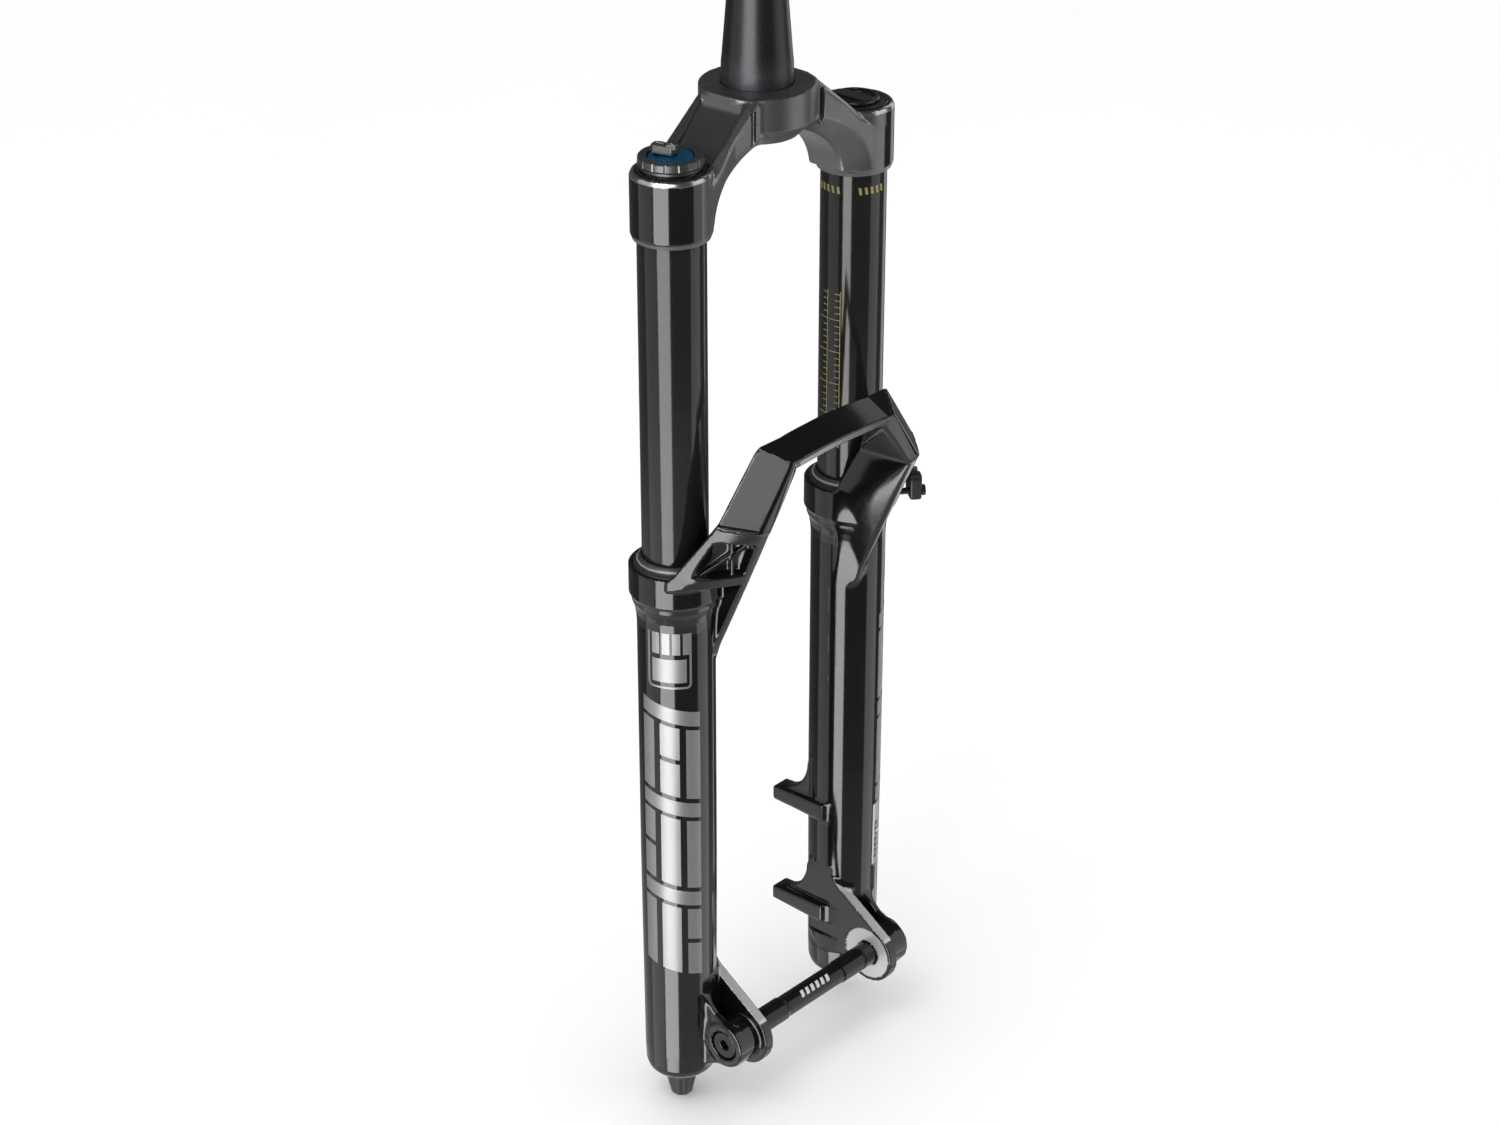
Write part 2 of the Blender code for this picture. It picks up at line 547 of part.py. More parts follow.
def make_lower_casting(parent):
    casting = leg_solid(DRIVE)
    casting.name = "lower_casting"
    casting.hide_render = False
    casting.display_type = "TEXTURED"
    casting.data.materials.append(gloss_black())
    casting.parent = parent
    added = [leg_solid(BRAKE), *arch_pieces(), *brake_post_pieces()]
    removed = [guide_hole("guide_bolt_hole", 2.3, -14, 30)]
    for side in (DRIVE, BRAKE):
        name = side_name(side)
        added += dropout_pieces(side)
        removed += arch_pockets(side)
        lip = COLLAR_TOP - 0.3
        bore = [(0, -150), (WIPER_ROOM_R, -150), (WIPER_ROOM_R, lip), (SEAL_BORE_R, lip)]
        bore += [(SEAL_BORE_R, SEAL_BORE_BOTTOM)]
        bore += [(BUSHING_BORE_R, SEAL_BORE_BOTTOM), (BUSHING_BORE_R, BUSHING_BORE_BOTTOM)]
        bore += [(LOWER_BORE_R, BUSHING_BORE_BOTTOM - 2), (LOWER_BORE_R, LEG_FLOOR)]
        bore += [(FOOT_HOLE_R, LEG_FLOOR), (FOOT_HOLE_R, FOOT_POCKET_TOP), (FOOT_POCKET_R, FOOT_POCKET_TOP)]
        bore += [(FOOT_POCKET_R, -620), (0, -620)]
        removed.append(turned(f"bore_{name}", bore, at=leg_at(side), sides=FINE))
    head_floor = -BOSS_END + AXLE_HEAD_DEPTH
    head_r, axle_r, seat = AXLE_HEAD_R + GAP, AXLE_R + GAP, HUB_HALF_WIDTH
    axle_hole = [(0, -90), (head_r, -90), (head_r, head_floor), (axle_r, head_floor), (axle_r, -seat)]
    axle_hole += [(HUB_SEAT_R, -seat), (HUB_SEAT_R, seat), (axle_r, seat), (axle_r, 90), (0, 90)]
    removed.append(turned("axle_hole", axle_hole, at=(0, AXLE_Y, AXLE_Z), along_x=True))
    lower_post_z, post_room = UPPER_POST_Z - POST_SPACING, 6.2
    flats = ((lower_post_z + post_room, -526), (-577, lower_post_z - post_room))
    for index, (bottom, top) in enumerate(flats):
        flat = [(30, top), (30, bottom), (-20, bottom), (-20, top)]
        removed.append(prism_x(f"machined_flat_{index}", flat, 30, FLANGE_INNER - 0.1))
    for index, z in enumerate((UPPER_POST_Z, UPPER_POST_Z - POST_SPACING)):
        hole = cylinder(f"post_thread_{index}", 2.6, -18, 5)
        hole.rotation_euler.x = -math.pi / 2
        hole.location = Vector(((POST_INNER_X + POST_OUTER_X) / 2, POST_TIP_Y, z - 0.2)) * MM
        removed.append(hole)
    join(casting, *added)
    cut(casting, *removed)


def on_guide_bolt_axis(obj):
    to_side = Matrix.Rotation(GUIDE_TURN, 3, "Z") @ Vector((0, GUIDE_BOLT_SIDE, 0))
    obj.rotation_euler.z = GUIDE_TURN
    obj.location = (Vector((GUIDE_AT[0], GUIDE_AT[1], GUIDE_BOLT_Z)) + to_side) * MM
    return obj


def guide_hole(name, radius, low, high):
    return on_guide_bolt_axis(cylinder(name, radius, low, high, along_x=True))


# ---------------------------------------------------------------- pieces inside the lowers

def make_leg_fittings(side, parent):
    """Seal, its spring, foam ring and two bushings, the same in both legs."""
    name = side_name(side)
    at = leg_at(side)
    inner = STANCHION_R + GAP
    seal = [(inner, -257), (20.6, -257), (20.8, -261), (23.2, -261.6), (SEAL_BORE_R - GAP, -262.4)]
    seal += [(SEAL_BORE_R - GAP, -272), (20.6, -272), (inner, -268)]
    turned(f"wiper_seal_{name}", seal, black_rubber(), parent, at)
    torus(f"wiper_spring_{name}", 21.7, 0.55, -259.6, spring_steel(), parent, side)
    foam_section = ring_section(inner + 0.2, SEAL_BORE_R - GAP, -283, -272.4)
    turned(f"foam_ring_{name}", foam_section, foam(), parent, at)
    for level, top in (("upper", UPPER_BUSHING_TOP), ("lower", LOWER_BUSHING_TOP)):
        section = ring_section(inner, BUSHING_BORE_R - GAP, top - BUSHING_LENGTH, top)
        turned(f"{level}_bushing_{name}", section, bearing_bronze(), parent, at)


def foot_bolt(name, side, bore_r, parent):
    at = leg_at(side)
    head_top, head_bottom, tip = -601.9, -606.4, FOOT_THREAD_TOP
    washer = ring_section(4.5, 7.8, head_top + GAP, FOOT_POCKET_TOP - GAP)
    turned(name.replace("bolt", "washer"), washer, bright_alloy(), parent, at, COARSE)
    outline = [(4, tip), (4, head_top), (7.2, head_top), (7.2, head_bottom)]
    if bore_r:
        outline = [(bore_r, tip)] + outline + [(bore_r, head_bottom)]
    else:
        outline = [(0, tip)] + outline + [(3, head_bottom), (3, head_bottom + 3), (0, head_bottom + 3)]
    turned(name, outline, spring_steel(), parent, at, COARSE)


def make_damper_moving(parent):
    at = leg_at(DRIVE)
    shaft_top, piston_bottom = DAMPER_PISTON_TOP + 6, DAMPER_PISTON_TOP - 14
    socket_top = FOOT_THREAD_TOP + 2
    shaft = [(FOOT_HOLE_R, SHAFT_BOTTOM), (SHAFT_R, SHAFT_BOTTOM), (SHAFT_R, shaft_top), (1.9, shaft_top)]
    shaft += [(1.9, socket_top), (FOOT_HOLE_R, socket_top)]
    turned("damper_shaft", shaft, bright_alloy(), parent, at, COARSE)
    bore = SHAFT_R + GAP
    outer = CARTRIDGE_BORE - GAP
    piston = [(bore, DAMPER_PISTON_TOP), (outer, DAMPER_PISTON_TOP), (outer, DAMPER_PISTON_TOP - 4)]
    piston += [(outer - 1.2, DAMPER_PISTON_TOP - 4), (outer - 1.2, DAMPER_PISTON_TOP - 10)]
    piston += [(outer, DAMPER_PISTON_TOP - 10), (outer, piston_bottom), (bore, piston_bottom)]
    turned("rebound_piston", piston, bright_alloy(), parent, at, COARSE)
    band = ring_section(outer - 0.9, outer, DAMPER_PISTON_TOP - 9.7, DAMPER_PISTON_TOP - 4.3)
    turned("rebound_piston_band", band, bearing_bronze(), parent, at, COARSE)
    foot_bolt("damper_foot_bolt", DRIVE, 1.9, parent)


def make_air_moving(parent):
    at = leg_at(BRAKE)
    shaft_top, socket_top = AIR_PISTON_TOP - 3, FOOT_THREAD_TOP + 2
    shaft = [(0, shaft_top), (SHAFT_R, shaft_top), (SHAFT_R, SHAFT_BOTTOM), (FOOT_HOLE_R, SHAFT_BOTTOM)]
    shaft += [(FOOT_HOLE_R, socket_top), (0, socket_top)]
    turned("air_shaft", shaft, bright_alloy(), parent, at, COARSE)
    outer = STANCHION_R - STANCHION_WALL - GAP
    land, groove, bore = outer - 0.5, outer - 2.6, SHAFT_R + GAP
    groove_top, groove_bottom, bottom = AIR_PISTON_TOP - 2.5, AIR_PISTON_TOP - 6.5, AIR_PISTON_TOP - 9
    piston = [(0, AIR_PISTON_TOP), (land, AIR_PISTON_TOP), (land, groove_top), (groove, groove_top)]
    piston += [(groove, groove_bottom), (land, groove_bottom), (land, bottom), (bore, bottom)]
    piston += [(bore, AIR_PISTON_TOP - 2.7), (0, AIR_PISTON_TOP - 2.7)]
    turned("air_piston", piston, black_plastic(), parent, at, COARSE)
    seal_z = (groove_top + groove_bottom) / 2
    torus("air_piston_seal", outer - 1.15, 1.1, seal_z, black_rubber(), parent, BRAKE)
    bumper = ring_section(bore, 9.5, -383.6, bottom - GAP)
    turned("topout_bumper", bumper, black_rubber(), parent, at, COARSE)
    foot_bolt("air_foot_bolt", BRAKE, 0, parent)


def make_hose_guide(parent):
    """Clip on the brake-side root that the front brake's hose runs through, and its bolt."""
    outline = [(-3.5, -7.2), (5.5, -7.2), (5.5, 7.6), (-3.5, 7.6)]
    guide = loft(
        "hose_guide",
        [[(x, y, z) for x, y in outline] for z in (-12, 9)],
        black_plastic(),
        parent,
        GUIDE_AT,
    )
    guide.rotation_euler.z = GUIDE_TURN
    channel = cylinder("hose_channel", HOSE_CHANNEL_R, -30, 30)
    channel.parent = guide
    channel.location = Vector((3.6, HOSE_CHANNEL_SIDE, 0)) * MM
    clearance = guide_hole("guide_clearance", 2.3, -14, 30)
    head_seat = guide_hole("guide_head_seat", 3.6, 3.4, 30)
    cut(guide, channel, clearance, head_seat)
    bolt = [(0, -12), (2, -12), (2, 3.7), (3.3, 3.7), (3.3, 6.2), (1.4, 6.2), (1.4, 4.6), (0, 4.6)]
    screw = turned("hose_guide_bolt", bolt, spring_steel(), parent, sides=COARSE, along_x=True)
    on_guide_bolt_axis(screw)


# ---------------------------------------------------------------- axle and rebound knob

def make_thru_axle(parent):
    head = -BOSS_END + 0.4
    shoulder = -BOSS_END + AXLE_HEAD_DEPTH - GAP
    waist_r, waist = AXLE_R - 0.6, 26
    socket_r, socket_floor = 3.4, head + 4.5
    tip = BOSS_END - 1.5
    profile = [(0, socket_floor), (socket_r, socket_floor), (socket_r, head), (AXLE_HEAD_R, head)]
    profile += [(AXLE_HEAD_R, shoulder), (AXLE_R, shoulder), (AXLE_R, -waist), (waist_r, -waist + 1)]
    profile += [(waist_r, waist - 1), (AXLE_R, waist)]
    profile += [(AXLE_R, tip - 1), (AXLE_R - 1, tip), (0, tip)]
    turned("thru_axle", profile, gloss_black(), parent, along_x=True)


def make_rebound_knob(parent):
    rod_end = KNOB_TOP - 5
    rod = [(0, -392), (1.6, -392), (1.6, rod_end + GAP), (0, rod_end + GAP)]
    turned("rebound_adjuster_rod", rod, bright_alloy(), parent, sides=10)
    profile = [(0, rod_end), (1.9, rod_end), (1.9, KNOB_TOP), (9.6, KNOB_TOP), (10.3, KNOB_TOP - 1.2)]
    profile += [(9.9, KNOB_TOP - 6), (8.5, KNOB_TOP - 12.4), (6.7, KNOB_BOTTOM + 1)]
    profile += [(6.1, KNOB_BOTTOM), (0, KNOB_BOTTOM)]
    knob = turned("rebound_knob", profile, black_plastic(), parent)
    bm = bmesh.new()
    flutes = 8
    lean = Matrix.Rotation(math.radians(13), 4, "Y")
    for step in range(flutes):
        turn = Matrix.Rotation(2 * math.pi * step / flutes, 4, "Z")
        spot = turn @ Matrix.Translation((9.1, 0, KNOB_TOP - 12)) @ lean
        bmesh.ops.create_cube(bm, size=1, matrix=spot @ Matrix.Diagonal((2.4, 1.8, 22, 1)))
    cut(knob, finish("knob_flutes", bm, parent=parent))


# ---------------------------------------------------------------- assembly

def main():
    clear_scene()
    upper = empty("upper_assembly")
    make_crown(upper)
    make_steerer(upper)
    for side in (DRIVE, BRAKE):
        make_stanchion(side, upper)
    make_damper_internals(upper)
    make_air_internals(upper)

    high_speed = empty("high_speed_axis", leg_at(DRIVE), upper)
    make_high_speed_dial(high_speed)
    low_speed = empty("low_speed_axis", leg_at(DRIVE), upper)
    make_low_speed_lever(low_speed)
    cap_axis = empty("valve_cap_axis", leg_at(BRAKE), upper)
    make_valve_cap(cap_axis)
    pin_axis = empty("valve_pin_axis", leg_at(BRAKE), upper)
    make_valve_pin(pin_axis)

    lowers = empty("lowers")
    make_lower_casting(lowers)
    for side in (DRIVE, BRAKE):
        make_leg_fittings(side, lowers)
    make_damper_moving(lowers)
    make_air_moving(lowers)
    make_hose_guide(lowers)

    axle_axis = empty("thru_axle_axis", (0, AXLE_Y, AXLE_Z), lowers)
    make_thru_axle(axle_axis)
    knob_axis = empty("rebound_axis", leg_at(DRIVE), lowers)
    make_rebound_knob(knob_axis)


main()
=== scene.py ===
"""Suspension fork: the visual model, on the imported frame.

Shapes are worked out in millimetres in the frame's own axes (+Z up the steerer, -Y to the front,
-X the drive side), then turned into metres. The two castings are implicit surfaces, blended with
real fillet radii and meshed on a grid; round pieces are turned at high resolution.
"""

import math

import bmesh
import bpy
import numpy as np
from mathutils import Matrix, Vector


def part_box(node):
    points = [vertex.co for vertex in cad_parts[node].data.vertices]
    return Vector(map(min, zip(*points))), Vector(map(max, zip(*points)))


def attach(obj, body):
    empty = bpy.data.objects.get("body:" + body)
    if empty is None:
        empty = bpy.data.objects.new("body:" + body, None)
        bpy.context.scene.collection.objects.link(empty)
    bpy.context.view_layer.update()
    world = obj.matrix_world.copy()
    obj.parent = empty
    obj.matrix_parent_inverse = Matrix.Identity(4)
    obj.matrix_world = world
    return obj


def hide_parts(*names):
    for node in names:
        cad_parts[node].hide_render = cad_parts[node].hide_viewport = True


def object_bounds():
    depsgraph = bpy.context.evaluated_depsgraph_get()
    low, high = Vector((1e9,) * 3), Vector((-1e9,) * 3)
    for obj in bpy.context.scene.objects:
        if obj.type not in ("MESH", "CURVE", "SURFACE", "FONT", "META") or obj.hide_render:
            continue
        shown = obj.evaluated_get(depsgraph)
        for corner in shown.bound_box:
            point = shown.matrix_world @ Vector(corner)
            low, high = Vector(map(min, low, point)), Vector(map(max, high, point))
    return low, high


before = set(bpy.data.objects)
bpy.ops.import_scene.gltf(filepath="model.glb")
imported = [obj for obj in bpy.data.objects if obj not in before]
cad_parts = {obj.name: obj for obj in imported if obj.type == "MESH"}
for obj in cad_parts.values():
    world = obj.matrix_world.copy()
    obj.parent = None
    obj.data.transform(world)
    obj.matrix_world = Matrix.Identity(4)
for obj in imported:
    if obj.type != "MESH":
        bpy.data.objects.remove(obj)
cad_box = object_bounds()

MM = 0.001
DRIVE, BRAKE = -1, 1
SIDES = {DRIVE: "drive_side", BRAKE: "brake_side"}


def box_mm(node):
    low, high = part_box(node)
    return np.array(low) / MM, np.array(high) / MM


def heights(node):
    low, high = box_mm(node)
    return low[2], high[2]


# Driving places, read from the frame
STANCHION_LOW, STANCHION_HIGH = box_mm("stanchion_brake_side")
LEG_X, LEG_Y = (STANCHION_LOW + STANCHION_HIGH)[:2] / 2
STANCHION_R = (STANCHION_HIGH - STANCHION_LOW)[1] / 2
STANCHION_TOP, STANCHION_BOTTOM = STANCHION_HIGH[2], STANCHION_LOW[2]
AXLE_LOW, AXLE_HIGH = box_mm("thru_axle")
AXLE_Y, AXLE_Z = (AXLE_LOW + AXLE_HIGH)[1:] / 2
CASTING_LOW, CASTING_HIGH = box_mm("lower_casting")
STEERER_TOP = heights("steerer_tube")[1]
FLOOR_Z = cad_box[0][2]


def leg_centre(side):
    return side * LEG_X, LEG_Y


# ---- implicit surfaces

def join(a, b, radius):
    """Two fields as one, the corner between them filled."""
    near = np.maximum(radius - np.abs(a - b), 0) / radius
    return np.minimum(a, b) - near * near * radius / 4


def cut(a, b, radius):
    """a without b, the edge rounded."""
    return -join(-a, b, radius)


def rounded_max(distances, soft):
    """The inside of every distance at once, the edges rounded."""
    peak = np.max(distances, axis=0)
    return peak + soft * np.log(sum(np.exp((d - peak) / soft) for d in distances))


def to_outline(u, v, corners):
    """Signed distance to a closed outline in a plane."""
    corners = np.asarray(corners, float)
    best = np.full(u.shape, np.inf)
    inside = np.zeros(u.shape, bool)
    for (ua, va), (ub, vb) in zip(corners, np.roll(corners, -1, axis=0)):
        edge_u, edge_v = ub - ua, vb - va
        along = ((u - ua) * edge_u + (v - va) * edge_v) / (edge_u**2 + edge_v**2)
        along = np.clip(along, 0, 1)
        best = np.minimum(best, (u - ua - along * edge_u) ** 2 + (v - va - along * edge_v) ** 2)
        if vb != va:
            crossing = ((va > v) != (vb > v)) & (u < (v - va) * edge_u / edge_v + ua)
            inside ^= crossing
    return np.where(inside, -1, 1) * np.sqrt(best)


def between(heights, low, high):
    return np.abs(heights - (low + high) / 2) - abs(high - low) / 2


def prism(p, axis, corners, low, high, soft=0.5):
    """An outline in the plane across an axis, between two heights along it."""
    u, v = (index for index in range(3) if index != axis)
    flat = to_outline(p[:, u], p[:, v], corners)
    return rounded_max((flat, between(p[:, axis], low, high)), soft)


def cylinder(p, axis, centre, radius, low, high, soft=0.5):
    u, v = (index for index in range(3) if index != axis)
    round_part = np.hypot(p[:, u] - centre[u], p[:, v] - centre[v]) - radius
    return rounded_max((round_part, between(p[:, axis], low, high)), soft)


def mirror(p):
    """The points brought to the brake side."""
    return np.abs(p * (1, 0, 0)) + p * (0, 1, 1)


def where(near, p, field):
    """The field at the points near it, and far away at the others."""
    values = np.full(len(p), 99.0)
    if near.any():
        values[near] = field(p[near])
    return values


def hull_planes(points):
    """Outward planes of the convex hull, merged where they coincide."""
    bm = bmesh.new()
    for point in points:
        bm.verts.new(point)
    bmesh.ops.convex_hull(bm, input=bm.verts)
    bmesh.ops.recalc_face_normals(bm, faces=bm.faces)
    bm.normal_update()
    planes = []
    for face in bm.faces:
        normal = np.array(face.normal)
        offset = float(normal @ np.array(face.verts[0].co))
        known = any(n @ normal > 0.9995 and abs(o - offset) < 0.08 for n, o in planes)
        if face.calc_area() > 0.5 and not known:
            planes.append((normal, offset))
    bm.free()
    return planes


def convex(p, planes, soft=0.5):
    return rounded_max([p @ normal - offset for normal, offset in planes], soft)


def grid(*stretches):
    """Grid lines through (start, step) stretches; the last entry is the end."""
    lines = []
    for (start, step), after in zip(stretches, stretches[1:]):
        end = after[0] if isinstance(after, tuple) else after
        count = max(1, round((end - start) / step))
        lines += [start + (end - start) * index / count for index in range(count)]
    return np.array(lines + [stretches[-1]])


def places(axes, index):
    """Coordinates of the grid's points with these indices."""
    return np.stack([axis[column] for axis, column in zip(axes, index.T)], -1)


def sample(field, axes):
    """The field on a grid, worked out in full only in the blocks near its surface."""
    block, far = 6, 10.0
    starts = [np.arange(0, len(axis), block) for axis in axes]

    def after(steps):
        return [axis[np.minimum(start + steps, len(axis) - 1)] for axis, start in zip(axes, starts)]

    middles = np.stack(np.meshgrid(*after(block // 2), indexing="ij"), -1)
    spans = [end - begin for begin, end in zip(after(0), after(block))]
    size = np.linalg.norm(np.stack(np.meshgrid(*spans, indexing="ij"), -1), axis=-1)
    rough = field(middles.reshape(-1, 3)).reshape(size.shape)
    block_of = np.ix_(*(np.arange(len(axis)) // block for axis in axes))
    values = np.sign(rough)[block_of] * far
    near = np.argwhere((np.abs(rough) < size * 0.75 + 3)[block_of])
    values[tuple(near.T)] = field(places(axes, near))
    return values


def surface_net(field, axes):
    """One point in each cell that the surface crosses, and a quad round each crossed edge."""
    values = sample(field, axes)
    inside = values < 0
    corners = np.array([(a, b, c) for a in (0, 1) for b in (0, 1) for c in (0, 1)])
    shape = tuple(n - 1 for n in values.shape)
    count = sum(
        inside[a : a + shape[0], b : b + shape[1], c : c + shape[2]].astype(np.int8)
        for a, b, c in corners
    )
    cells = np.argwhere((count > 0) & (count < 8))
    number = np.full(shape, -1, np.int64)
    number[tuple(cells.T)] = np.arange(len(cells))

    def at(which):
        index = cells + which
        return values[tuple(index.T)], places(axes, index)

    total, hits = np.zeros((len(cells), 3)), np.zeros(len(cells))
    for axis in range(3):
        step = np.eye(3, dtype=int)[axis]
        for corner in corners[corners[:, axis] == 0]:
            (va, pa), (vb, pb) = at(corner), at(corner + step)
            crossed = (va < 0) != (vb < 0)
            share = np.where(crossed, va / np.where(va == vb, 1, va - vb), 0)[:, None]
            total += np.where(crossed[:, None], pa + share * (pb - pa), 0)
            hits += crossed
    points = total / hits[:, None]

    quads = []
    for axis in range(3):
        u, v = (axis + 1) % 3, (axis + 2) % 3
        step, du, dv = np.eye(3, dtype=int)[[axis, u, v]]
        first = inside.take(range(values.shape[axis] - 1), axis)
        second = inside.take(range(1, values.shape[axis]), axis)
        edges = np.argwhere(first != second)
        room = (edges[:, u] > 0) & (edges[:, v] > 0)
        room &= (edges[:, u] < shape[u]) & (edges[:, v] < shape[v])
        edges = edges[room]
        ring = np.stack([number[tuple((edges - offset).T)] for offset in (0 * du, du, du + dv, dv)], -1)
        outward = first[tuple(edges.T)]
        quads.append(np.where(outward[:, None], ring, ring[:, ::-1]))
    return points, np.concatenate(quads)


def gradient(field, points, step=0.12):
    """Direction and rate at which the field grows, from four samples round each point."""
    corners = np.array(((1, -1, -1), (-1, -1, 1), (-1, 1, -1), (1, 1, 1)), float)
    slope = sum(corner * field(points + step * corner)[:, None] for corner in corners)
    return slope / (4 * step)


def settle(field, points, rounds=3):
    """Moves the points onto the surface."""
    for _ in range(rounds):
        slope = gradient(field, points)
        steepness = np.maximum((slope**2).sum(1), 0.1)
        move = (-field(points) / steepness)[:, None] * slope
        length = np.linalg.norm(move, axis=1, keepdims=True)
        points = points + move * np.minimum(1, 0.5 / np.maximum(length, 1e-9))
    return points


def linked(name, data):
    obj = bpy.data.objects.new(name, data)
    bpy.context.scene.collection.objects.link(obj)
    return obj


def faceted_object(name, points, faces, sharp_angle):
    """A closed mesh from points in millimetres, smooth between its sharp edges."""
    mesh = bpy.data.meshes.new(name)
    mesh.from_pydata((np.array(points) * MM).tolist(), [], faces)
    bm = bmesh.new()
    bm.from_mesh(mesh)
    bmesh.ops.recalc_face_normals(bm, faces=bm.faces)
    bm.to_mesh(mesh)
    bm.free()
    mesh.shade_smooth()
    mesh.set_sharp_from_angle(angle=math.radians(sharp_angle))
    return linked(name, mesh)


def implicit_object(name, field, axes):
    points, quads = surface_net(field, axes)
    points = settle(field, points)
    normals = gradient(field, points)
    normals /= np.maximum(np.linalg.norm(normals, axis=1, keepdims=True), 1e-9)
    mesh = bpy.data.meshes.new(name)
    mesh.from_pydata((points * MM).tolist(), [], quads.tolist())
    mesh.shade_smooth()
    mesh.normals_split_custom_set_from_vertices(normals.tolist())
    return linked(name, mesh)


def mask(obj, name, values):
    """A share from 0 to 1 at each point, which a material reads by name."""
    layer = obj.data.attributes.new(name, "FLOAT", "POINT")
    layer.data.foreach_set("value", np.asarray(values, np.float32))


def vertex_rows(obj, what):
    rows = np.empty(len(obj.data.vertices) * 3)
    obj.data.vertices.foreach_get(what, rows)
    return rows.reshape(-1, 3)


def points_of(obj):
    return vertex_rows(obj, "co") / MM


def stand_for(obj, look, body, slot, *nodes):
    dress(obj, look)
    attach(obj, body)
    if nodes:
        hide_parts(*nodes)


# ---- turned pieces

def turned_object(name, profile, centre=(0, 0), sides=128):
    """Turns a closed (radius, height) outline round a vertical axis."""
    turns = np.arange(sides) * 2 * math.pi / sides
    rows = [
        np.stack([centre[0] + r * np.cos(turns), centre[1] + r * np.sin(turns), 0 * turns + z], -1)
        for r, z in profile
    ]
    number = np.arange(len(rows) * sides).reshape(len(rows), sides)
    onward = np.roll(number, -1, axis=1)
    faces = np.stack([number, onward, np.roll(onward, -1, axis=0), np.roll(number, -1, axis=0)], -1)
    return faceted_object(name, np.concatenate(rows), faces.reshape(-1, 4).tolist(), 25)


def arc_points(centre, radius, start, end, steps):
    angles = np.radians(np.linspace(start, end, steps + 1))
    return [(centre[0] + radius * math.cos(a), centre[1] + radius * math.sin(a)) for a in angles]


# ---- materials

def feed(tree, socket, value):
    """Gives an input a plain value, or links it to another node's output."""
    if isinstance(value, bpy.types.NodeSocket):
        tree.links.new(value, socket)
    else:
        socket.default_value = value


def add_node(tree, kind, inputs=(), **settings):
    node = tree.nodes.new("ShaderNode" + kind)
    for name, value in settings.items():
        setattr(node, name, value)
    for name, value in dict(inputs).items():
        feed(tree, node.inputs[name], value)
    return node


def blend_sockets(tree, share, first, second, data_type):
    """A mix node's inputs and outputs are numbered, with each data type's in a place of its own."""
    first_input, output = {"FLOAT": (2, 0), "RGBA": (6, 2)}[data_type]
    inputs = {0: share, first_input: first, first_input + 1: second}
    return add_node(tree, "Mix", inputs, data_type=data_type).outputs[output]


def surface(tree, look, place):
    """Colour, roughness and metal sockets of one look: tones that drift and a fine grain."""
    patches = {"Vector": place, "Scale": look.get("patch", 60), "Detail": 6}
    mottle = add_node(tree, "TexNoise", patches)
    stretch = look.get("brush", (1, 1, 1))
    mapped = add_node(tree, "Mapping", {"Vector": place, "Scale": stretch})
    grain = {"Vector": mapped.outputs[0], "Scale": look.get("grain", 900), "Detail": 3}
    fine = add_node(tree, "TexNoise", grain)
    tones = (*look["dark"], 1), (*look["light"], 1)
    colour = blend_sockets(tree, mottle.outputs[0], *tones, "RGBA")
    spread = {"From Min": 0.3, "From Max": 0.7, "To Min": look["rough"][0], "To Max": look["rough"][1]}
    rough = add_node(tree, "MapRange", {"Value": fine.outputs[0], **spread})
    return colour, rough.outputs[0], look["metal"], fine.outputs[0]


def painted(name, look, bump=0.0, layers=(), bump_depth=0.02):
    """One look over a whole piece, and others laid over it where their masks say."""
    material = bpy.data.materials.new(name)
    material.use_nodes = True
    tree = material.node_tree
    shader = tree.nodes["Principled BSDF"]
    place = add_node(tree, "TexCoord").outputs["Object"]
    colour, rough, metal, grain = surface(tree, look, place)
    for mask_name, over in layers:
        share = add_node(tree, "Attribute", attribute_name=mask_name).outputs["Fac"]
        top_colour, top_rough, top_metal, _ = surface(tree, over, place)
        colour = blend_sockets(tree, share, colour, top_colour, "RGBA")
        rough = blend_sockets(tree, share, rough, top_rough, "FLOAT")
        metal = blend_sockets(tree, share, metal, top_metal, "FLOAT")
    for socket, value in (("Base Color", colour), ("Roughness", rough), ("Metallic", metal)):
        feed(tree, shader.inputs[socket], value)
    if bump:
        relief = {"Height": grain, "Strength": bump, "Distance": bump_depth * MM}
        feed(tree, shader.inputs["Normal"], add_node(tree, "Bump", relief).outputs[0])
    return material


def look_of(dark, light, rough, metal=0.0, tint=(1, 1, 1), **texture):
    """Two tones, a range of roughness and a share of metal, with the scales of patch, grain and brush."""
    dark, light = (tuple(np.multiply(level, tint)) for level in (dark, light))
    return {"dark": dark, "light": light, "rough": rough, "metal": metal, **texture}


WARM, BLUISH = (1, 0.97, 0.9), (0.85, 0.9, 1)
GLOSS_LOOK = look_of(0.003, 0.006, (0.07, 0.12), patch=25, grain=400)
ANODISED_LOOK = look_of(0.014, 0.024, (0.08, 0.15), 0.45, WARM, brush=(1, 1, 0.06), grain=1600)
SATIN_LOOK = look_of(0.10, 0.14, (0.28, 0.4), 0.85, patch=35, grain=2600)
POLISHED_LOOK = look_of(0.36, 0.46, (0.16, 0.26), 1.0, grain=2200)
MACHINED_LOOK = look_of(0.5, 0.62, (0.32, 0.45), 0.6, brush=(0.2, 1, 1), grain=2400)
STEERER_LOOK = look_of(0.006, 0.012, (0.26, 0.36), 0.3, BLUISH, patch=30)
# painted highlight: lighter, blotchy metallic tones laid over the steerer's race seat
SEAT_HIGHLIGHT_LOOK = look_of(0.02, 0.1, (0.3, 0.5), 0.7, BLUISH, patch=160)
DIAL_LOOK = look_of(0.05, 0.08, (0.28, 0.4), 0.7, grain=3000)
GROOVE_LOOK = look_of(0.12, 0.17, (0.25, 0.35), 1.0)
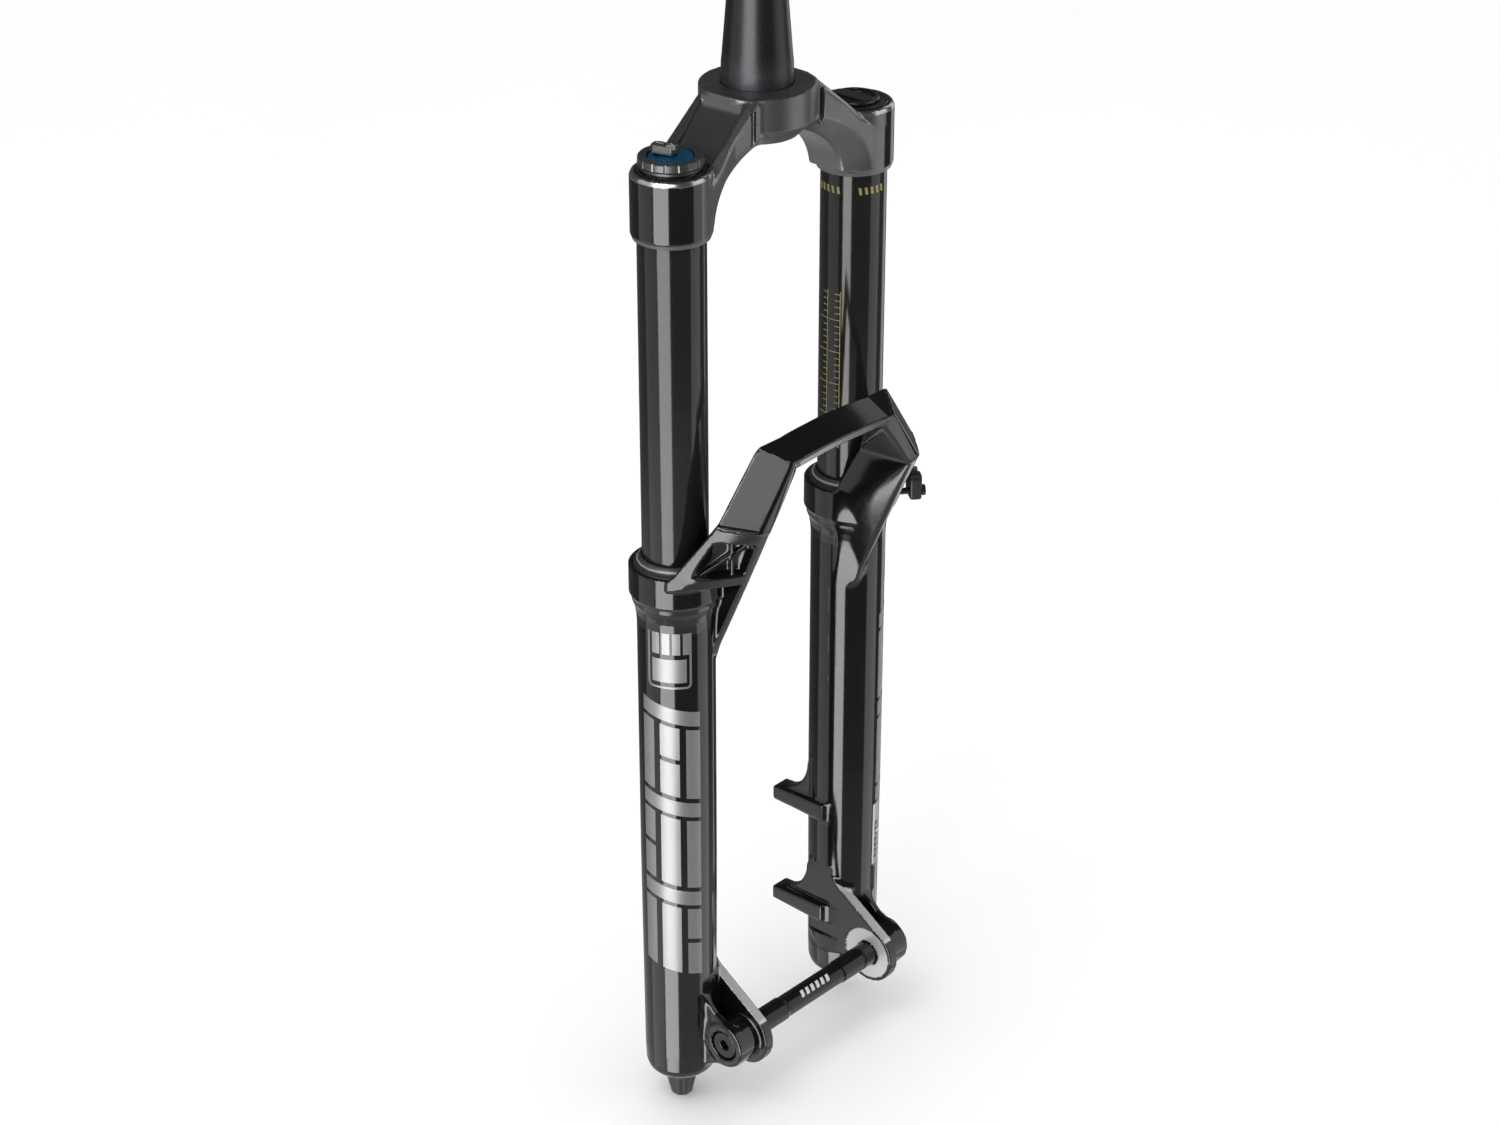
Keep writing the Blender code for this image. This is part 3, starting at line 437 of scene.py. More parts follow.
SEAL_LOOK = look_of(0.008, 0.013, (0.6, 0.75), grain=2000)
SPRING_LOOK = look_of(0.14, 0.2, (0.25, 0.35), 1.0)
CROWN_LAYERS = [("gloss", GLOSS_LOOK), ("polished", POLISHED_LOOK)]
PAINTS = {  # material name, look, bump, layers over it, depth of the bump
    "gloss": ("gloss_black_casting", GLOSS_LOOK, 0.05, [("machined", MACHINED_LOOK)]),
    "crown": ("satin_gunmetal_crown", SATIN_LOOK, 0.12, CROWN_LAYERS),
    "stanchion": ("hard_black_anodised", ANODISED_LOOK, 0.04),
    "steerer": ("satin_black_steerer", STEERER_LOOK, 0.1, [("painted_seat_highlight", SEAT_HIGHLIGHT_LOOK)]),
    "axle": ("black_axle", look_of(0.008, 0.014, (0.08, 0.15), 0.45, brush=(1, 1, 0.06), grain=1600), 0.05),
    "dial": ("grey_anodised_dial", DIAL_LOOK, 0.15, [("groove", GROOVE_LOOK)]),
    "blue": ("blue_anodised",
             look_of((0.006, 0.12, 0.28), (0.015, 0.22, 0.45), (0.22, 0.34), 0.85, grain=2600), 0.1),
    "lever": ("grey_lever", look_of(0.1, 0.16, (0.2, 0.3), 0.8), 0.1),
    "cap": ("black_cap", look_of(0.008, 0.014, (0.2, 0.3)), 0.1),
    "plastic": ("moulded_black_plastic", look_of(0.009, 0.018, (0.32, 0.48), grain=3500), 0.3, (), 0.03),
    "rubber": ("black_rubber", look_of(0.009, 0.017, (0.5, 0.7), grain=2000), 0.3),
    "wiper": ("matte_black_seal", SEAL_LOOK, 0.2, [("spring", SPRING_LOOK)]),
    "silver": ("silver_graphic", look_of(0.2, 0.24, (0.36, 0.42), 0.6)),
    "pale": ("pale_graphic", look_of(0.5, 0.6, (0.25, 0.4)), 0.05),
    "gold": ("gold_graphic", look_of((0.2, 0.165, 0.05), (0.3, 0.25, 0.08), (0.3, 0.45)), 0.05),
    "faint": ("faint_graphic", look_of(0.07, 0.1, (0.3, 0.4)), 0.05),
    "bright": ("bright_alloy", {**MACHINED_LOOK, "rough": (0.24, 0.34)}, 0.1),
    "steel": ("steel", look_of(0.4, 0.5, (0.32, 0.45), 0.6, brush=(0.2, 1, 1), grain=2400), 0.1),
    "brass": ("brass", look_of((0.62, 0.42, 0.14), (0.75, 0.53, 0.2), (0.25, 0.38), 1.0), 0.1),
    "bushing": ("bushing_liner", look_of((0.1, 0.11, 0.08), (0.16, 0.17, 0.13), (0.45, 0.6)), 0.2),
    "foam": ("oiled_foam",
             look_of((0.25, 0.2, 0.07), (0.38, 0.32, 0.12), (0.8, 0.95), grain=1200), 0.8, (), 0.2),
}
LOOKS = {name: painted(*paint) for name, paint in PAINTS.items()}
KEPT_NODE_LOOKS = {  # the first word found in a node's name decides
    "guide": "cap",
    "oring": "rubber", "bladder": "rubber", "bumper": "rubber", "piston_seal": "rubber", "band": "bushing",
    "air_piston": "plastic", "spacer": "plastic", "bushing": "bushing", "foam": "foam", "spring": "steel",
    "screw": "steel", "bolt": "steel", "retaining": "steel", "stem": "brass", "pin": "brass",
}


def dress(obj, look):
    obj.data.materials.clear()
    obj.data.materials.append(LOOKS[look])


# ---- crown

HUB_R = box_mm("crown")[1][1]
CLAMP_R, CLAMP_TOP, CLAMP_BOTTOM = 22.5, -28.4, -67
ARM_MIDDLE, ARM_HALF = LEG_Y, 22.35
ARCH_A, ARCH_B = 52.5, 39.5  # half-axes of the tyre arch under the arms
CAP_R = 19.7
AWAY = -9  # a turned outline runs past its axis, so that no edge lies on it


def crown_field(p):
    x, y, z = p.T
    wide = np.abs(x)
    # the front face leans in towards the hub, which stands clear of it in the middle
    forward = ARM_MIDDLE - y
    lean = np.where(forward > 0, np.interp(wide, (20, 43, 52, 75), (5.4, 5.0, 3.5, 0)), 0)
    across = np.abs(forward) + lean
    # arms: level beside the hub, then falling to each clamp; arched over the tyre
    arm_top, knee, slant = -0.25, 26.2, 0.82
    fall = (z - arm_top + slant * (wide - knee)) / math.hypot(1, slant)
    roof = join(np.maximum(z - arm_top, fall), z - (CLAMP_TOP - 3.4), 5)
    reach = np.hypot(wide / ARCH_A, (z - CLAMP_BOTTOM) / ARCH_B)
    slope = np.hypot(wide / ARCH_A**2, (z - CLAMP_BOTTOM) / ARCH_B**2) + 1e-6
    above_tyre = reach * (reach - 1) / slope
    chamfer_depth = np.interp(wide, (10, 60), (7, 13))
    chamfer_width = 8.35
    chamfer = (across - ARM_HALF + chamfer_width) / chamfer_width - above_tyre / chamfer_depth
    chamfer /= np.sqrt(1 / chamfer_width**2 + 1 / chamfer_depth**2)
    bevel_width, bevel_depth = 5.5, 5.2  # the broad bevel from the pocket's rim down to the front face
    top_edge = (forward - np.interp(wide, (30, 50), (13.8, 15.2))) / bevel_width + roof / bevel_depth
    top_edge /= math.hypot(1 / bevel_width, 1 / bevel_depth)
    arm = rounded_max(
        (roof, across - ARM_HALF, top_edge, -above_tyre, chamfer, CLAMP_BOTTOM + 3.5 - z, wide - LEG_X), 0.5
    )
    hub_outline = [(AWAY, -0.05), (HUB_R - 0.9, -0.05), (HUB_R, -1), (HUB_R, -19), (23, -28.6), (AWAY, -28.6)]
    hub = to_outline(np.hypot(x, y), z, hub_outline)
    body = join(arm, hub, 1.6)
    around = np.hypot(wide - LEG_X, y - LEG_Y)
    clamp_outline = [
        (AWAY, CLAMP_TOP), (20.2, CLAMP_TOP), (21.4, CLAMP_TOP - 0.7),
        (CLAMP_R - 0.05, CLAMP_TOP - 3), (CLAMP_R - 0.05, CLAMP_BOTTOM + 3.4),
        (21.2, CLAMP_BOTTOM), (AWAY, CLAMP_BOTTOM),
    ]
    body = join(body, to_outline(around, z, clamp_outline), 0.8)
    # pocket on each arm, its floor falling with the arm
    pocket = [(30.5, -16.5), (46, -20), (66, -19.5), (66, 9.5), (48, 9.5), (31, 12.5)]
    walls = to_outline(wide, y, pocket)
    slant = 0.9
    floor = (-11 - slant * (wide - 35) - z) / math.hypot(1, slant)
    body = cut(body, rounded_max((walls, floor), 0.8), 1.2)
    body = cut(body, convex(mirror(p), SLIT_PLANES, 0.3), 0.5)
    ring = [(AWAY, 9), (CAP_R, 9), (CAP_R, CLAMP_TOP - 0.6), (STANCHION_R + 0.3, CLAMP_TOP - 0.6)]
    bore = to_outline(around, z, ring + [(STANCHION_R + 0.3, -90), (AWAY, -90)])
    clear_above = rounded_max((around - CAP_R, CLAMP_TOP - z), 0.3)
    steerer_ring = [(AWAY, 9), (20.2, 9), (20.2, -1), (18.8, -1), (18.8, -60), (AWAY, -60)]
    steerer_bore = to_outline(np.hypot(x, y), z, steerer_ring)
    return cut(body, np.minimum(np.minimum(bore, clear_above), steerer_bore), 0.5)


SLIT_PLANES = hull_planes(
    [(x, y, z) for z in (-28, -6) for x, y in ((25.6, -36), (30, -36), (30, -18.5), (25.6, -20.5))]
)


def make_crown():
    low, high = box_mm("crown")
    step = 0.95
    axes = [grid((low[n] - 2, step), high[n] + 2) for n in range(3)]
    crown = implicit_object("crown_forging", crown_field, axes)
    points, normals = points_of(crown), vertex_rows(crown, "normal")
    wide, y, z = np.abs(points[:, 0]), points[:, 1], points[:, 2]
    around = np.hypot(wide - LEG_X, y - LEG_Y)
    outside = (around > CLAMP_R - 0.4) & (z < CLAMP_TOP - 3.2)
    mask(crown, "gloss", outside & (wide > LEG_X - 0.6))
    bevel = (z > CLAMP_TOP - 3.3) & (z < CLAMP_TOP + 0.3) & (around > 20.2) & (around < CLAMP_R + 0.5)
    arm_bevel = (y < -17) & (normals[:, 2] > 0.3) & (normals[:, 1] < -0.3) & (wide > 30) & (z > -36)
    mask(crown, "polished", np.where(bevel & (normals[:, 2] > 0.2), 1.0, np.where(arm_bevel, 0.4, 0.0)))
    stand_for(crown, "crown", "upper_assembly", "crown", "crown")


# ---- steerer, stanchions, seals

def make_steerer():
    taper_top, seat_top = 80, 12
    tube_r = 14.3
    outside = [(18.5, -26), (18.5, -0.7), (19.9, -0.7), (19.9, 8), (19.85, 11), (19.7, 13)]
    outside += [(tube_r + 5.4 * (1 - t) ** 1.05, seat_top + (taper_top - seat_top) * t) for t in
                np.linspace(0.04, 1, 14)]
    outside += [(tube_r, STEERER_TOP - 1), (tube_r - 0.3, STEERER_TOP - 0.25), (tube_r - 0.9, STEERER_TOP)]
    inside = [(12.2, STEERER_TOP), (11.9, STEERER_TOP - 0.4), (11.9, taper_top), (15.5, 12), (15.5, -26)]
    steerer = turned_object("steerer", outside + inside, sides=160)
    height = points_of(steerer)[:, 2]
    # painted highlight: blotchy lighter patches on the race seat, fading out above 17 mm
    mask(steerer, "painted_seat_highlight", np.clip((17 - height) / 12, 0, 1) * 0.8)
    stand_for(steerer, "steerer", "upper_assembly", "steerer", "steerer_tube")


def make_stanchion(side):
    name = f"stanchion_{SIDES[side]}"
    r, top, bottom = STANCHION_R, STANCHION_TOP, STANCHION_BOTTOM
    wall = 1.8
    inner = r - wall
    outline = [(inner, top), (r - 0.3, top), (r, top - 0.3), (r, bottom + 1.2), (r - 0.4, bottom + 0.3)]
    outline += [(r - 1, bottom), (inner, bottom)]
    tube = turned_object(f"{name}_tube", outline, leg_centre(side), 160)
    stand_for(tube, "stanchion", "upper_assembly", "stanchion", name)


def make_wiper_seal(side):
    """Rubber wiper with a lip against the stanchion, a groove for its spring and a pressed skirt."""
    node = f"wiper_seal_{SIDES[side]}"
    low, high = box_mm(node)
    top, bottom = high[2], low[2]
    inner, outer = STANCHION_R + 0.3, (high[0] - low[0]) / 2
    outline = [
        (inner, top), (inner + 0.5, top), (inner + 1.2, top - 0.6), (inner + 1.4, top - 1.6),
        (inner + 1.7, top - 2.2), (inner + 1.7, top - 3.3), (inner + 2.6, top - 3.9),
        (outer - 0.9, top - 4.4), (outer - 0.3, top - 4.7), (outer, top - 5.2), (outer, bottom + 0.6),
        (outer - 0.5, bottom), (inner + 1.4, bottom), (inner, bottom + 4),
    ]
    seal = turned_object(f"{node}_moulding", outline, leg_centre(side), 160)
    height, around = points_of(seal)[:, 2], around_axis(points_of(seal), leg_centre(side))
    mask(seal, "spring", (np.abs(height - top + 2.75) < 0.6) & (around > inner + 1.5))
    stand_for(seal, "wiper", "lowers", "wiper", node)


# ---- lower casting

COLLAR_R, COLLAR_TOP, COLLAR_BOTTOM = 26.7, -262, -279.5
ARCH_TOP = [(55, -50, -184.7), (43, -67, -193.3), (36.5, -63, -200.5), (48, -46.5, -192.5)]
ARCH_LOW = [(84.5, -46, -225), (68.7, -65, -228.5), (59.7, -65, -230.5), (56, -29, -231)]
FIN_FOOT = [(61, -25, -322), (66, -24, -316), (57, -16, -318)]
COLLAR_RIM = [
    (LEG_X + COLLAR_R * math.cos(a), LEG_Y + COLLAR_R * math.sin(a), z)
    for a in np.radians((-160, -135, -110, -85, -60, -35))
    for z in (COLLAR_TOP, COLLAR_BOTTOM)
]
BRIDGE_PLANES = hull_planes(ARCH_TOP + [(-x, y, z) for x, y, z in ARCH_TOP])
BAND_PLANES = hull_planes(ARCH_TOP + ARCH_LOW)
ROOT_PLANES = hull_planes(ARCH_LOW + COLLAR_RIM + FIN_FOOT)
POCKET_MOUTH = [(88, -48, -234), (70, -70, -236), (67.5, -54, -260), (93, -33, -259)]
POCKET_FLOOR = [(76, -38, -236), (64, -53, -237), (64, -46, -258), (80, -34, -258)]
POCKET_PLANES = hull_planes(POCKET_MOUTH + POCKET_FLOOR)
REAR_MOUTH = [(56, -40, -196), (70, -36, -214), (76, -25, -226), (60, -20, -228)]
REAR_FLOOR = [(53, -56, -201), (66, -55, -217), (71, -52, -227), (60.5, -54, -226)]
REAR_PLANES = hull_planes(REAR_MOUTH + REAR_FLOOR)
OUTWARD, ALONG = np.array((0.63, -0.777, 0)), np.array((0.777, 0.63, 0))  # of the root's outside
LEG_OUTLINE = [
    (AWAY, COLLAR_TOP), (COLLAR_R - 0.8, COLLAR_TOP), (COLLAR_R, COLLAR_TOP - 0.8),
    (COLLAR_R, COLLAR_BOTTOM), (25.5, -281.6), (25.0, -284.8), (23.7, -288), (22.8, -293),
    (22.4, -299), (22.4, -455), (21.6, -590), (21.2, -601), (20.2, -604.6), (18.1, -607),
    (AWAY, -607),
]
BORE_OUTLINE = [
    (AWAY, -150), (25.2, -150), (25.2, COLLAR_TOP - 0.3), (24.3, COLLAR_TOP - 0.3),
    (24.3, -278.5), (22.8, -280.5), (22.8, -284), (20.6, -284), (20.6, -414), (19.4, -416),
    (19.4, -590), (4.3, -590), (4.3, -600), (9, -600), (9, -620), (AWAY, -620),
]
ARCH_BOW = 1.6  # how much the bridge rises at its middle
ROOT_LEDGE = -266.5  # below the root's ledge only a fin runs down the leg
FIN_NORMAL = np.array((0.993, 0.103, 0.059))
FIN_FACE = FIN_NORMAL @ np.array((59.7, -65, -230.5)) + 5
FLANGE_IN, FLANGE_OUT, FLANGE_R, SEAT_R = 54.6, 61.5, 19.5, 17.25
BOSS_R, BOSS_END = 14, 78
AXLE_BORE, HEAD_RECESS, HEAD_DEPTH = 7.8, 9.5, 6.5
FLANGE_OUTLINE = arc_points((AXLE_Y, AXLE_Z), FLANGE_R, 131, 330, 16)
FLANGE_OUTLINE += [(-6, -586), (4, -577), (3, -533), (-3, -527)]
WALL_OUTLINE = [(-16, -538), (-36, -557.5), (-48, -562.6), (-55.5, -570), (-56, -582), (-47, -589)]
WALL_OUTLINE += [(-36, -592.5), (-18, -603), (-8, -603), (-8, -538)]
FLOOR_OUTLINE = [(-16, -551), (-31, -568), (-44, -564), (-53, -587), (-36, -592.5), (-18, -603), (-8, -603)]
FLOOR_OUTLINE += [(-8, -551)]
POST_Z, POST_SPACING, POST_TIP = -486.2, 74.2, CASTING_HIGH[1]
POST_ROOM = 6.2
MACHINED_FLATS = ((-526, POST_Z - POST_SPACING + POST_ROOM), (POST_Z - POST_SPACING - POST_ROOM, -577))


def arch_field(p):
    mirrored = mirror(p)
    bowed = p.copy()
    bowed[:, 2] -= ARCH_BOW * np.clip(1 - (p[:, 0] / 37) ** 2, 0, 1)
    arch = join(convex(bowed, BRIDGE_PLANES, 0.5), convex(mirrored, BAND_PLANES, 0.5), 2)
    hollow = rounded_max((mirrored[:, 2] - ROOT_LEDGE, FIN_FACE - mirrored @ FIN_NORMAL), 0.5)
    root = cut(convex(mirrored, ROOT_PLANES, 0.6), hollow, 0.8)
    arch = join(arch, root, 2.5)
    pocket = convex(mirrored, POCKET_PLANES, 0.8)
    from_middle = mirrored - np.array((76, -50, -247.0))
    depth = from_middle @ OUTWARD + 5
    rib_half = 1.2
    upright = rounded_max((np.abs(from_middle @ ALONG + 1) - rib_half, depth), 0.3)
    sloped = from_middle @ (0.55 * ALONG + np.array((0, 0, 0.835)))
    ribs = join(upright, rounded_max((np.abs(sloped) - rib_half, depth), 0.3), 1.2)
    arch = cut(arch, rounded_max((pocket, -ribs), 0.4), 1.4)
    return cut(arch, convex(mirrored, REAR_PLANES, 0.8), 1.2)


def dropout_field(p):
    mirrored = mirror(p)
    flange = prism(mirrored, 0, FLANGE_OUTLINE, FLANGE_IN, FLANGE_OUT, 0.35)
    wall = prism(mirrored, 0, WALL_OUTLINE, 72.6, 77.2, 0.7)
    floor = prism(mirrored, 0, FLOOR_OUTLINE, 64, 76, 0.8)
    boss = cylinder(mirrored, 0, (0, AXLE_Y, AXLE_Z), BOSS_R, 58, BOSS_END, 0.4)
    block = join(wall, floor, 4)
    return join(join(block, boss, 2.5), flange, 2)


def brake_post_field(p):
    posts = []
    for z in (POST_Z, POST_Z - POST_SPACING):
        outline = [(-12, z + 6), (POST_TIP - 1, z + 4.5), (POST_TIP, z + 3.5), (POST_TIP, z - 4)]
        outline += [(POST_TIP - 1, z - 5), (-12, z - 6)]
        post = prism(p, 0, outline, 50, 63, 0.45)
        slanted_end = (p - np.array((50, -9, 0))) @ np.array((-0.5, -0.866, 0))
        post = rounded_max((post, slanted_end), 0.4)
        curve = arc_points((30.5, z + 29), 24, 180, 262, 8)
        gusset = prism(p, 0, [(4, z + 34)] + curve + [(26, z), (4, z)], 53.5, 61.5, 0.7)
        posts.append(join(post, gusset, 2))
    return np.min(posts, axis=0)


def machined_flats(p):
    flats = []
    for top, bottom in MACHINED_FLATS:
        outline = [(-20, bottom), (-20, top), (30, top), (30, bottom)]
        flats.append(prism(p, 0, outline, 30, FLANGE_IN - 0.1, 0.2))
    return np.min(flats, axis=0)


def casting_field(p):
    x, y, z = p.T
    wide = np.abs(x)
    around = np.hypot(wide - LEG_X, y - LEG_Y)
    body = to_outline(around, z, LEG_OUTLINE) - 0.05
    arch_bottom, dropout_top = -345, -430
    posts = (z < dropout_top) & (x > 0)
    body = join(body, where(z > arch_bottom, p, arch_field), 4)
    body = join(body, where(z < dropout_top, p, dropout_field), 3.5)
    body = join(body, where(posts, p, brake_post_field), 2.5)
    axle = np.hypot(y - AXLE_Y, z - AXLE_Z)
    removed = to_outline(around, z, BORE_OUTLINE)
    removed = np.minimum(removed, axle - AXLE_BORE)
    removed = np.minimum(removed, np.maximum(axle - SEAT_R, wide - 55))
    removed = np.minimum(removed, np.maximum(axle - HEAD_RECESS, x + BOSS_END - HEAD_DEPTH))
    return cut(body, np.minimum(removed, where(posts, p, machined_flats)), 0.4)


def make_casting():
    low, high = CASTING_LOW, CASTING_HIGH
    fine, coarse = ((1.25, 6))
    x_axis = grid((low[0] - 2, fine), high[0] + 2)
    y_axis = grid((low[1] - 2, fine), high[1] + 2)
    z_axis = grid((low[2] - 2, fine), (POST_Z + 50, coarse), (-340, fine), high[2] + 6)
    casting = implicit_object("casting", casting_field, [x_axis, y_axis, z_axis])
    points, normals = points_of(casting), vertex_rows(casting, "normal")
    wide, y, z = np.abs(points[:, 0]), points[:, 1], points[:, 2]
    (ya, za), (yb, zb) = FLANGE_OUTLINE[-1], FLANGE_OUTLINE[0]
    edge_normal = np.array((zb - za, ya - yb)) / math.hypot(yb - ya, zb - za)
    from_edge = np.abs((y - ya) * edge_normal[0] + (z - za) * edge_normal[1])
    facing = np.abs(normals[:, 1] * edge_normal[0] + normals[:, 2] * edge_normal[1]) > 0.85
    edge = (from_edge < 0.6) & facing & (wide < FLANGE_OUT + 0.6) & (wide > FLANGE_IN - 0.3) & (y < -14)
    seat = (np.abs(wide - 55) < 0.25) & (np.hypot(y - AXLE_Y, z - AXLE_Z) < SEAT_R - 0.2)
    mask(casting, "machined", edge | seat)
    stand_for(casting, "gloss", "lowers", "casting", "lower_casting")


# ---- dials, caps, knob, axle, guide

def around_axis(p, centre):
    return np.hypot(p[:, 0] - centre[0], p[:, 1] - centre[1])


def along_and_across(x, y, degrees):
    """Plan coordinates along and across a direction."""
    cosine, sine = math.cos(math.radians(degrees)), math.sin(math.radians(degrees))
    return x * cosine + y * sine, y * cosine - x * sine


def repeated(p, centre, count, offset=0.0):
    """The points folded into one of count equal sectors: (along the sector's middle, across it)."""
    angle = np.arctan2(p[:, 1] - centre[1], p[:, 0] - centre[0]) - offset
    sector = 2 * math.pi / count
    folded = (angle + sector / 2) % sector - sector / 2
    radius = around_axis(p, centre)
    return radius * np.cos(folded), radius * np.sin(folded)


def small_piece(node, name, field, step, look, body, slot, masks=None):
    low, high = box_mm(node)
    fine = step * 1
    axes = [grid((low[n] - 1.5, fine), high[n] + 1.5) for n in range(3)]
    piece = implicit_object(name, field, axes)
    if masks:
        masks(piece)
    stand_for(piece, look, body, slot, node)


def make_high_speed_dial():
    centre, (bottom, top) = leg_centre(DRIVE), heights("high_speed_dial")
    rim_r, rim_bottom, well_r, notches = 18, top - 5.2, 12.9, 16
    outline = [
        (3.2, bottom), (3.2, bottom + 7.4), (well_r, bottom + 7.6), (well_r, top - 0.6),
        (well_r + 0.5, top - 0.25), (rim_r - 1.1, top), (rim_r - 0.2, top - 0.9),
        (rim_r, rim_bottom + 0.6), (rim_r - 0.5, rim_bottom), (17.2, rim_bottom),
        (17.2, top - 7.2), (11, top - 7.2), (11, bottom),
    ]

    def from_groove(p):
        out, across = repeated(p, centre, notches, math.pi / notches)
        return np.hypot(out - rim_r - 0.1, across)

    def field(p):
        ring = to_outline(around_axis(p, centre), p[:, 2], outline)
        above_sleeve = rim_bottom - 1 - p[:, 2]
        return cut(ring, np.maximum(from_groove(p) - 0.6, above_sleeve), 0.35)

    def masks(dial):
        points = points_of(dial)
        mask(dial, "groove", (from_groove(points) < 0.75) & (points[:, 2] > rim_bottom - 0.6))

    small_piece("high_speed_dial", "outer_dial", field, 0.5, "dial", "high_speed_dial", "dial", masks)


def make_low_speed_dial():
    centre, (bottom, top) = leg_centre(DRIVE), heights("low_speed_dial")
    outline = [(AWAY, bottom), (2.9, bottom), (2.9, top - 4.7), (12.3, top - 3.7), (12.4, top - 0.7)]
    outline += [(11.8, top - 0.1), (9.4, top), (9.0, top - 0.5), (6.2, top - 0.5), (5.8, top), (AWAY, top)]

    def field(p):
        plate = to_outline(around_axis(p, centre), p[:, 2], outline)
        out, across = repeated(p, centre, 24)
        tick = rounded_max((np.abs(across) - 0.3, 9.9 - out, out - 11.4, top - 0.45 - p[:, 2]), 0.1)
        hollow = np.sqrt((out - 7.6) ** 2 + across**2 + (p[:, 2] - top - 0.5) ** 2) - 1.2
        return cut(plate, np.minimum(tick, hollow), 0.15)

    small_piece("low_speed_dial", "inner_dial", field, 0.45, "blue", "low_speed_lever", "blue_anodised")


def make_lever():
    bottom, top = heights("low_speed_lever_bar")
    outline = [(-4.3, -3), (4.3, -3), (4.3, 9), (2.5, 11.8), (-2.5, 11.8), (-4.3, 9)]

    def field(p):
        x, y = p[:, 0] + LEG_X, p[:, 1] - LEG_Y
        u, v = along_and_across(x, y, 14)
        shrink = 0.2 * np.clip((p[:, 2] - bottom) / (top - bottom), 0, 1) * 4.3
        flat = to_outline(u, v, outline) + shrink
        bar = rounded_max((flat, between(p[:, 2], bottom, top)), 0.35)
        scoop = rounded_max((np.abs(u) - 1.5, np.abs(v - 7) - 2.6, top - 1.0 - p[:, 2]), 0.3)
        near = np.hypot(x, y)
        head = np.maximum(near - 3.2, -18 - p[:, 2])
        return cut(bar, np.minimum(np.minimum(scoop, head), near - 1.9), 0.3)

    small_piece("low_speed_lever_bar", "lever", field, 0.4, "lever", "low_speed_lever", "lever")


def make_air_cap():
    centre, (bottom, top) = leg_centre(BRAKE), heights("air_valve_cap")
    outline = [
        (AWAY, top), (12.9, top), (13.7, top - 0.4), (14, top - 1), (14, top - 2), (12.6, top - 2.3),
        (12.6, top - 3.9), (7, top - 3.9), (7, bottom), (4.6, bottom), (4.6, top - 3.3),
        (AWAY, top - 3.3),
    ]
    half_moon = arc_points((0, 0), 11.4, -66, 66, 12)

    def field(p):
        x, y = p[:, 0] - centre[0], p[:, 1] - centre[1]
        cap = to_outline(np.hypot(x, y), p[:, 2], outline)
        recess = to_outline(np.abs(x), y, half_moon)
        recess = rounded_max((recess, top - 2.3 - p[:, 2]), 0.35)
        edge_groove = np.hypot(np.hypot(x, y) - 12.6, p[:, 2] - top - 0.1) - 0.45
        return cut(cap, np.minimum(recess, edge_groove), 0.5)

    small_piece("air_valve_cap", "air_cap", field, 0.45, "cap", "valve_cap", "valve_cap")


def make_top_cap(side):
    """Threaded cap, its flange with a fine groove and a broken edge."""
    node = f"{'damper' if side == DRIVE else 'air'}_top_cap"
    low, high = box_mm(node)
    well_r, well_floor, bore_r = (12.5, -34, 3.2) if side == DRIVE else (13, -41, 4.3)
    top, flange_r, seat, thread_r = high[2], (high[0] - low[0]) / 2, -29.2, 16.8
    outline = [
        (well_r + 0.2, top), (16.2, top), (16.4, top - 0.3), (16.9, top - 0.3), (17.1, top),
        (flange_r - 0.35, top), (flange_r, top - 0.3), (flange_r, seat), (thread_r, seat),
        (thread_r, -38.6), (15, -38.6), (15, -41.4), (thread_r, -41.4), (thread_r, low[2]),
        (bore_r, low[2]), (bore_r, well_floor), (well_r, well_floor), (well_r, top - 0.2),
    ]
    cap = turned_object(f"{node}_flange", outline, leg_centre(side), 128)
    stand_for(cap, "cap", "upper_assembly", "black_cap", node)


def make_knob():
    centre, (bottom, top), flutes = leg_centre(DRIVE), heights("rebound_knob"), 8
    outline = [
        (1.9, top), (9.4, top), (10.2, top - 1), (10.2, top - 2.2), (9.8, top - 6), (8.4, top - 12.4),
        (6.6, bottom + 1), (6.0, bottom + 0.1), (AWAY, bottom + 0.05), (AWAY, top - 5),
        (1.9, top - 5),
    ]

    def field(p):
        body = to_outline(around_axis(p, centre), p[:, 2], outline)
        out, across = repeated(p, centre, flutes)
        lean = out - (p[:, 2] - top + 12.4) * 0.22
        flute = np.hypot(lean - 9.6, across) - 2
        return cut(body, rounded_max((flute, p[:, 2] - top + 6), 0.3), 0.4)

    small_piece("rebound_knob", "knob", field, 0.5, "plastic", "rebound_adjuster", "knob")


